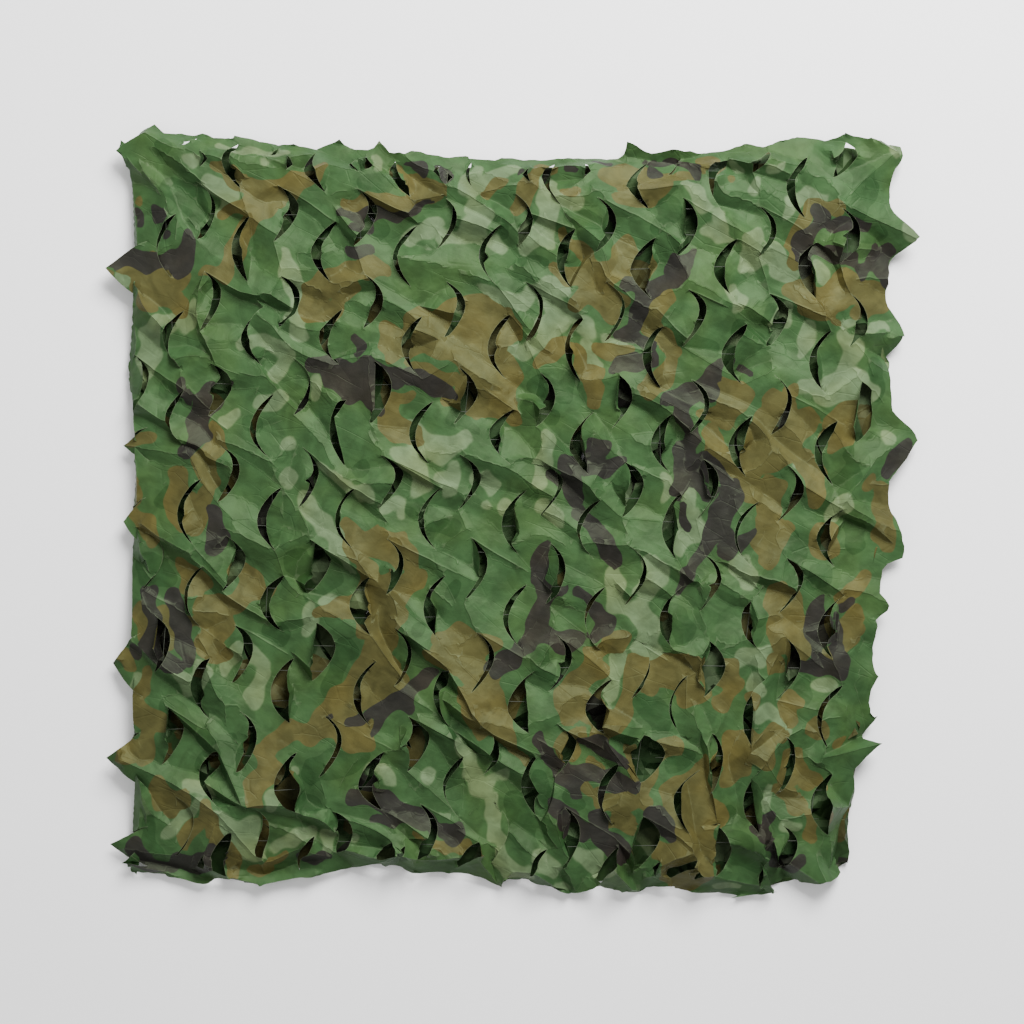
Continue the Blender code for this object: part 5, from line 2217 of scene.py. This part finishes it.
        (175, 861, 9, 191, 866, 12, 206, 868, 9), (206, 868, 9, 212, 850, 6),
        (298, 863, 7, 312, 862, 8, 323, 863, 4), (350, 721, 5, 362, 716, 6), (329, 715, 3),
    ),
}


# ---------------------------------------------------------------------------
# Finishes
# ---------------------------------------------------------------------------


@dataclass(frozen=True)
class Cloud:
    """Cloudy noise, mapped smoothly from start..end to low..high."""

    scale: float
    detail: float
    start: float
    end: float
    low: float = 0.0
    high: float = 1.0
    distortion: float = 0.0


@dataclass(frozen=True)
class Facets:
    """Facets of crumpled cloth: width, how drawn out, slant in degrees, and height."""

    size: float
    stretch: float
    slant: float
    height: float


@dataclass(frozen=True)
class Nodes:
    """Short ways to add shader nodes to one material."""

    tree: bpy.types.ShaderNodeTree

    def attribute(self, name: str, output: str = "Fac") -> bpy.types.NodeSocket:
        """Read an attribute of the mesh.

        Args:
            name: Its name.
            output: Which of the node's outputs to read.

        Returns:
            The output.
        """
        node = self.tree.nodes.new("ShaderNodeAttribute")
        node.attribute_name = name
        return node.outputs[output]

    def ramp(self, value: bpy.types.NodeSocket, start: float, end: float,
             low: float = 0.0, high: float = 1.0) -> bpy.types.NodeSocket:
        """Map a value smoothly.

        Args:
            value: The value.
            start: Value that gives low.
            end: Value that gives high.
            low: Result at the start.
            high: Result at the end.

        Returns:
            The result, held at low and high beyond.
        """
        node = self.tree.nodes.new("ShaderNodeMapRange")
        node.interpolation_type = "SMOOTHSTEP"
        self.tree.links.new(value, node.inputs["Value"])
        node.inputs["From Min"].default_value = start
        node.inputs["From Max"].default_value = end
        node.inputs["To Min"].default_value = low
        node.inputs["To Max"].default_value = high
        return node.outputs["Result"]

    def noise(self, place: bpy.types.NodeSocket, scale: float, detail: float,
              distortion: float = 0.0) -> bpy.types.NodeSocket:
        """Cloudy noise.

        Args:
            place: Where it is read.
            scale: Clouds to the metre.
            detail: Levels of finer clouds.
            distortion: How far the clouds are drawn about.

        Returns:
            The noise, about 0 to 1.
        """
        node = self.tree.nodes.new("ShaderNodeTexNoise")
        self.tree.links.new(place, node.inputs["Vector"])
        node.inputs["Scale"].default_value = scale
        node.inputs["Detail"].default_value = detail
        node.inputs["Distortion"].default_value = distortion
        return node.outputs["Fac"]

    def cloud(self, place: bpy.types.NodeSocket, cloud: Cloud) -> bpy.types.NodeSocket:
        """Cloudy noise, mapped smoothly."""
        return self.ramp(self.noise(place, cloud.scale, cloud.detail, cloud.distortion),
                         cloud.start, cloud.end, cloud.low, cloud.high)

    def _cells(self, place: bpy.types.NodeSocket, size: float, stretch: float,
               slant: float) -> bpy.types.ShaderNode:
        """Cells of about one size, drawn out along a slanting direction.

        Args:
            place: Where they are read.
            size: Their width.
            stretch: How much longer they are.
            slant: Their direction, in degrees.

        Returns:
            The node of the cells.
        """
        turn = self.tree.nodes.new("ShaderNodeMapping")
        turn.vector_type = "TEXTURE"
        turn.inputs["Rotation"].default_value = (0.0, 0.0, math.radians(slant))
        turn.inputs["Scale"].default_value = (size * stretch, size, 1.0)
        self.tree.links.new(place, turn.inputs["Vector"])
        node = self.tree.nodes.new("ShaderNodeTexVoronoi")
        node.inputs["Scale"].default_value = 1.0
        self.tree.links.new(turn.outputs["Vector"], node.inputs["Vector"])
        return node

    def facets(self, place: bpy.types.NodeSocket, facets: Facets) -> bpy.types.NodeSocket:
        """Flat facets, in full or lowered to their height.

        Args:
            place: Where they are read.
            facets: Their width, stretch, slant and height.

        Returns:
            How far each place stands out.
        """
        node = self._cells(place, facets.size, facets.stretch, facets.slant)
        node.distance = "CHEBYCHEV"
        if facets.height == 1.0:
            return node.outputs["Distance"]
        return self.math("MULTIPLY", node.outputs["Distance"], facets.height)

    def lines(self, place: bpy.types.NodeSocket, size: float, stretch: float,
              slant: float, width: float) -> bpy.types.NodeSocket:
        """Thin straight lines between cells of about one size.

        Args:
            place: Where they are read.
            size: Width of the cells.
            stretch: How much longer they are.
            slant: Their direction, in degrees.
            width: Width of a line, as a share of a cell.

        Returns:
            1 on a line, 0 away from it.
        """
        node = self._cells(place, size, stretch, slant)
        node.feature = "DISTANCE_TO_EDGE"
        return self.ramp(node.outputs["Distance"], 0.0, width, 1.0, 0.0)

    def math(self, operation: str, a: bpy.types.NodeSocket,
             b: bpy.types.NodeSocket | float) -> bpy.types.NodeSocket:
        """Combine two values.

        Args:
            operation: What to do with them.
            a: The first value.
            b: The second value, read or fixed.

        Returns:
            The result.
        """
        node = self.tree.nodes.new("ShaderNodeMath")
        node.operation = operation
        self.tree.links.new(a, node.inputs[0])
        if isinstance(b, float):
            node.inputs[1].default_value = b
        else:
            self.tree.links.new(b, node.inputs[1])
        return node.outputs[0]

    def mix(self, share: bpy.types.NodeSocket, a: bpy.types.NodeSocket,
            b: tuple[float, float, float], blend: str = "MIX") -> bpy.types.NodeSocket:
        """Mix a colour towards a fixed one.

        Args:
            share: How far, 0 to 1.
            a: The colour.
            b: The fixed colour.
            blend: The kind of mix.

        Returns:
            The mixed colour.
        """
        node = self.tree.nodes.new("ShaderNodeMix")
        node.data_type = "RGBA"
        node.blend_type = blend
        self.tree.links.new(share, node.inputs["Factor"])
        self.tree.links.new(a, node.inputs["A"])
        node.inputs["B"].default_value = (*b, 1.0)
        return node.outputs["Result"]

    def scaled(self, colour: bpy.types.NodeSocket,
               by: bpy.types.NodeSocket) -> bpy.types.NodeSocket:
        """Brighten or darken a colour.

        Args:
            colour: The colour.
            by: How many times brighter.

        Returns:
            The new colour.
        """
        node = self.tree.nodes.new("ShaderNodeVectorMath")
        node.operation = "SCALE"
        self.tree.links.new(colour, node.inputs[0])
        self.tree.links.new(by, node.inputs["Scale"])
        return node.outputs["Vector"]


@dataclass(frozen=True)
class ClothFinish:
    """Thin coated polyester, printed, softly shiny and finely crinkled."""

    name: str = "camouflage_cloth"
    green: tuple[float, float, float] = (0.0230, 0.0545, 0.0188)
    # Darker green ink, partly painted shade.
    deep_and_shade: tuple[float, float, float] = (0.0150, 0.0400, 0.0128)
    pale: tuple[float, float, float] = (0.0690, 0.1050, 0.0510)
    brown: tuple[float, float, float] = (0.0510, 0.0475, 0.0155)
    dark: tuple[float, float, float] = (0.0148, 0.0130, 0.0128)
    # Pale colour of rubbed cut edges, and painted highlight along the creases.
    worn_and_highlight: tuple[float, float, float] = (0.150, 0.180, 0.108)
    warm: tuple[float, float, float] = (1.15, 1.05, 0.90)
    roughness: float = 0.52
    specular: float = 0.17
    sheen_tint: tuple[float, float, float] = (0.74, 0.94, 0.55)
    edge_blur: float = 0.0010
    pale_blur: float = 0.0032
    brown_spread: float = 0.0011
    crease_width: float = 0.0007
    # How far the creases are lightened: partly rubbing, partly painted highlight.
    crease_wear_and_highlight: float = 0.16
    cut_width: float = 0.0006
    cut_wear: float = 0.45
    pressed: float = 0.22
    pressed_width: float = 0.0018
    line_width: float = 0.035
    soft: float = 0.20
    drift: Cloud = Cloud(13.0, 2.0, 0.42, 0.68)
    mottle: Cloud = Cloud(42.0, 4.0, 0.3, 0.7, 0.80, 1.18, 0.8)
    patches: Cloud = Cloud(90.0, 3.0, 0.35, 0.65)
    lined: Cloud = Cloud(15.0, 1.0, 0.46, 0.62, 0.0, -0.17)
    broad: Facets = Facets(0.026, 1.9, -27.0, 1.0)
    cross: Facets = Facets(0.017, 1.5, 40.0, 0.45)
    small: Facets = Facets(0.007, 1.6, -15.0, 0.12)
    bump: float = 0.6
    bump_depth: float = 0.0023

    def material(self) -> bpy.types.Material:
        """Make the material.

        Returns:
            The material, whose inks, rubbed cut edges, creases lightened by rubbing and
            painted highlight, and painted shade read the cloth's attributes.
        """
        material = bpy.data.materials.new(self.name)
        material.use_nodes = True
        nodes = Nodes(material.node_tree)
        shader = nodes.tree.nodes["Principled BSDF"]
        shader.inputs["Roughness"].default_value = self.roughness
        shader.inputs["Specular IOR Level"].default_value = self.specular
        shader.inputs["Specular Tint"].default_value = (*self.sheen_tint, 1.0)
        flat = nodes.attribute("flat", "Vector")
        colour = nodes.tree.nodes.new("ShaderNodeRGB").outputs[0]
        colour.default_value = (*self.green, 1.0)
        for ink in Ink:
            blur = (self.pale_blur if ink is Ink.PALE else self.edge_blur) / 2
            spread = self.brown_spread if ink is Ink.BROWN else 0.0
            share = nodes.ramp(nodes.attribute(f"ink_{ink.value}"), -blur - spread,
                               blur - spread)
            colour = nodes.mix(share, colour, getattr(self, ink.value))
        colour = nodes.mix(nodes.cloud(flat, self.drift), colour, self.warm, "MULTIPLY")
        colour = nodes.scaled(colour, nodes.cloud(flat, self.mottle))
        patch = nodes.cloud(flat, self.patches)
        # Painted highlight, partly rubbing: the colour is lightened along the creases.
        crease = nodes.ramp(nodes.attribute("crease"), 0.0, self.crease_width, 1.0, 0.0)
        wear_and_highlight = nodes.math("MULTIPLY", nodes.math("MULTIPLY", crease, patch), self.crease_wear_and_highlight)
        colour = nodes.mix(wear_and_highlight, colour, self.worn_and_highlight)
        cut = nodes.ramp(nodes.attribute("cut"), 0.0, self.cut_width, self.cut_wear, 0.0)
        colour = nodes.mix(cut, colour, self.worn_and_highlight)
        # Painted shade: the colour is darkened far inside the bundle, away from its rims.
        colour = nodes.scaled(colour, nodes.attribute("shade"))
        nodes.tree.links.new(colour, shader.inputs["Base Color"])
        self._crinkle(nodes, flat, shader)
        return material

    def _crinkle(self, nodes: Nodes, flat: bpy.types.NodeSocket,
                 shader: bpy.types.ShaderNode) -> None:
        """Bump the cloth with fine crumples.

        Args:
            nodes: The material's nodes.
            flat: Place on the flat cloth.
            shader: The shader to bump.
        """
        coarse = nodes.facets(flat, self.broad)
        other = nodes.facets(flat, self.cross)
        fine = nodes.facets(flat, self.small)
        soft = nodes.math("MULTIPLY", nodes.noise(flat, 60.0, 4.0, 1.2), self.soft)
        folds = nodes.math("MULTIPLY", nodes.lines(flat, 0.024, 2.4, -24.0, self.line_width),
                           nodes.cloud(flat, self.lined))
        pressed = nodes.ramp(nodes.attribute("crease"), 0.0, self.pressed_width,
                             self.pressed, 0.0)
        folds = nodes.math("ADD", folds, pressed)
        height = nodes.math("ADD", nodes.math("ADD", coarse, other),
                            nodes.math("ADD", fine, nodes.math("ADD", soft, folds)))
        bump = nodes.tree.nodes.new("ShaderNodeBump")
        bump.inputs["Strength"].default_value = self.bump
        bump.inputs["Distance"].default_value = self.bump_depth
        nodes.tree.links.new(height, bump.inputs["Height"])
        nodes.tree.links.new(bump.outputs["Normal"], shader.inputs["Normal"])


@dataclass(frozen=True)
class PlainFinish:
    """Matt finish of one colour."""

    name: str
    colour: tuple[float, float, float]
    roughness: float

    def material(self) -> bpy.types.Material:
        """Make the material.

        Returns:
            The material.
        """
        material = bpy.data.materials.new(self.name)
        material.use_nodes = True
        shader = material.node_tree.nodes["Principled BSDF"]
        shader.inputs["Base Color"].default_value = (*self.colour, 1.0)
        shader.inputs["Roughness"].default_value = self.roughness
        return material


# The strings' colour is much darker than their own pale grey: painted shade, for the shadow
# under the cloth where they lie.
STRING_FINISH = PlainFinish("net_string", (0.034, 0.040, 0.026), 0.55)
FLOOR_FINISH = PlainFinish("studio_floor", (0.94, 0.94, 0.94), 0.9)


# ---------------------------------------------------------------------------
# Studio
# ---------------------------------------------------------------------------


@dataclass(frozen=True)
class Studio:
    """Pale floor, soft lights and a camera straight above the net."""

    view_width: float = 1.28
    lens: float = 85.0
    sensor: float = 36.0
    look_z: float = 0.035
    floor_size: float = 14.0
    world: float = 0.62
    lights: tuple[tuple[str, tuple[float, float, float], float, float], ...] = (
        ("key", (0.9, 2.0, 2.05), 1.5, 266.0), ("fill", (-1.8, -0.6, 2.6), 2.4, 16.0))

    def build(self) -> None:
        """Set up the floor, lights, world and camera."""
        self._floor()
        for name, place, size, power in self.lights:
            self._light(name, place, size, power)
        world = bpy.data.worlds.new("studio")
        world.use_nodes = True
        background = world.node_tree.nodes["Background"]
        background.inputs["Color"].default_value = (1.0, 1.0, 1.0, 1.0)
        background.inputs["Strength"].default_value = self.world
        bpy.context.scene.world = world
        self._camera()

    def _floor(self) -> None:
        """Lay the floor."""
        half = self.floor_size / 2
        mesh = bpy.data.meshes.new("floor")
        corners = ((-half, -half), (half, -half), (half, half), (-half, half))
        mesh.from_pydata([(x, y, 0.0) for x, y in corners], [], [(0, 1, 2, 3)])
        mesh.materials.append(FLOOR_FINISH.material())
        floor = bpy.data.objects.new("floor", mesh)
        bpy.context.scene.collection.objects.link(floor)

    def _light(self, name: str, place: tuple[float, float, float], size: float,
               power: float) -> None:
        """Hang one square soft light that faces the net.

        Args:
            name: Its name.
            place: Where it hangs.
            size: Its width.
            power: Its power.
        """
        lamp = bpy.data.lights.new(name, "AREA")
        lamp.size = size
        lamp.energy = power
        light = bpy.data.objects.new(name, lamp)
        light.location = place
        light.rotation_euler = Vector(place).to_track_quat("Z", "Y").to_euler()
        bpy.context.scene.collection.objects.link(light)

    def _camera(self) -> None:
        """Place the camera so that the view is view_width wide at the cloth."""
        data = bpy.data.cameras.new("camera")
        data.lens = self.lens
        data.sensor_width = self.sensor
        camera = bpy.data.objects.new("camera", data)
        camera.location = (0.0, 0.0, self.look_z + self.view_width * self.lens / self.sensor)
        bpy.context.scene.collection.objects.link(camera)
        bpy.context.scene.camera = camera


def add_attribute(mesh: bpy.types.Mesh, name: str, values: np.ndarray) -> None:
    """Store one number for each point of a mesh."""
    layer = mesh.attributes.new(name, "FLOAT", "POINT")
    layer.data.foreach_set("value", values.astype(np.float32))


def main() -> None:
    """Build the net in order, logging the cloth's steps and the model's nodes."""
    logging.basicConfig(level=logging.INFO, format="%(name)s: %(message)s")
    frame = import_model()
    strip = FoldedStrip()
    gathering = Gathering()
    net, cloth, places = NetCloth(strip, gathering, SlitLattice()).build()
    ClothMarks(strip, gathering).add(net.data, cloth, places)
    printed = WoodlandPrint(PRINT_CHART)
    for ink, depth in printed.depths(strip, cloth).items():
        add_attribute(net.data, f"ink_{ink.value}", depth)
    net.data.materials.append(ClothFinish().material())
    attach(net, "root")
    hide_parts("net_cloth")
    low, high = np.min(cloth.y), np.max(cloth.y)
    strings = StringMesh(strip).build(cloth, places)
    strings.data.materials.append(STRING_FINISH.material())
    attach(strings, "root")
    Studio().build()
    LOG.info("nodes %s", sorted(frame["nodes"]))


if __name__ == "__main__":
    main()
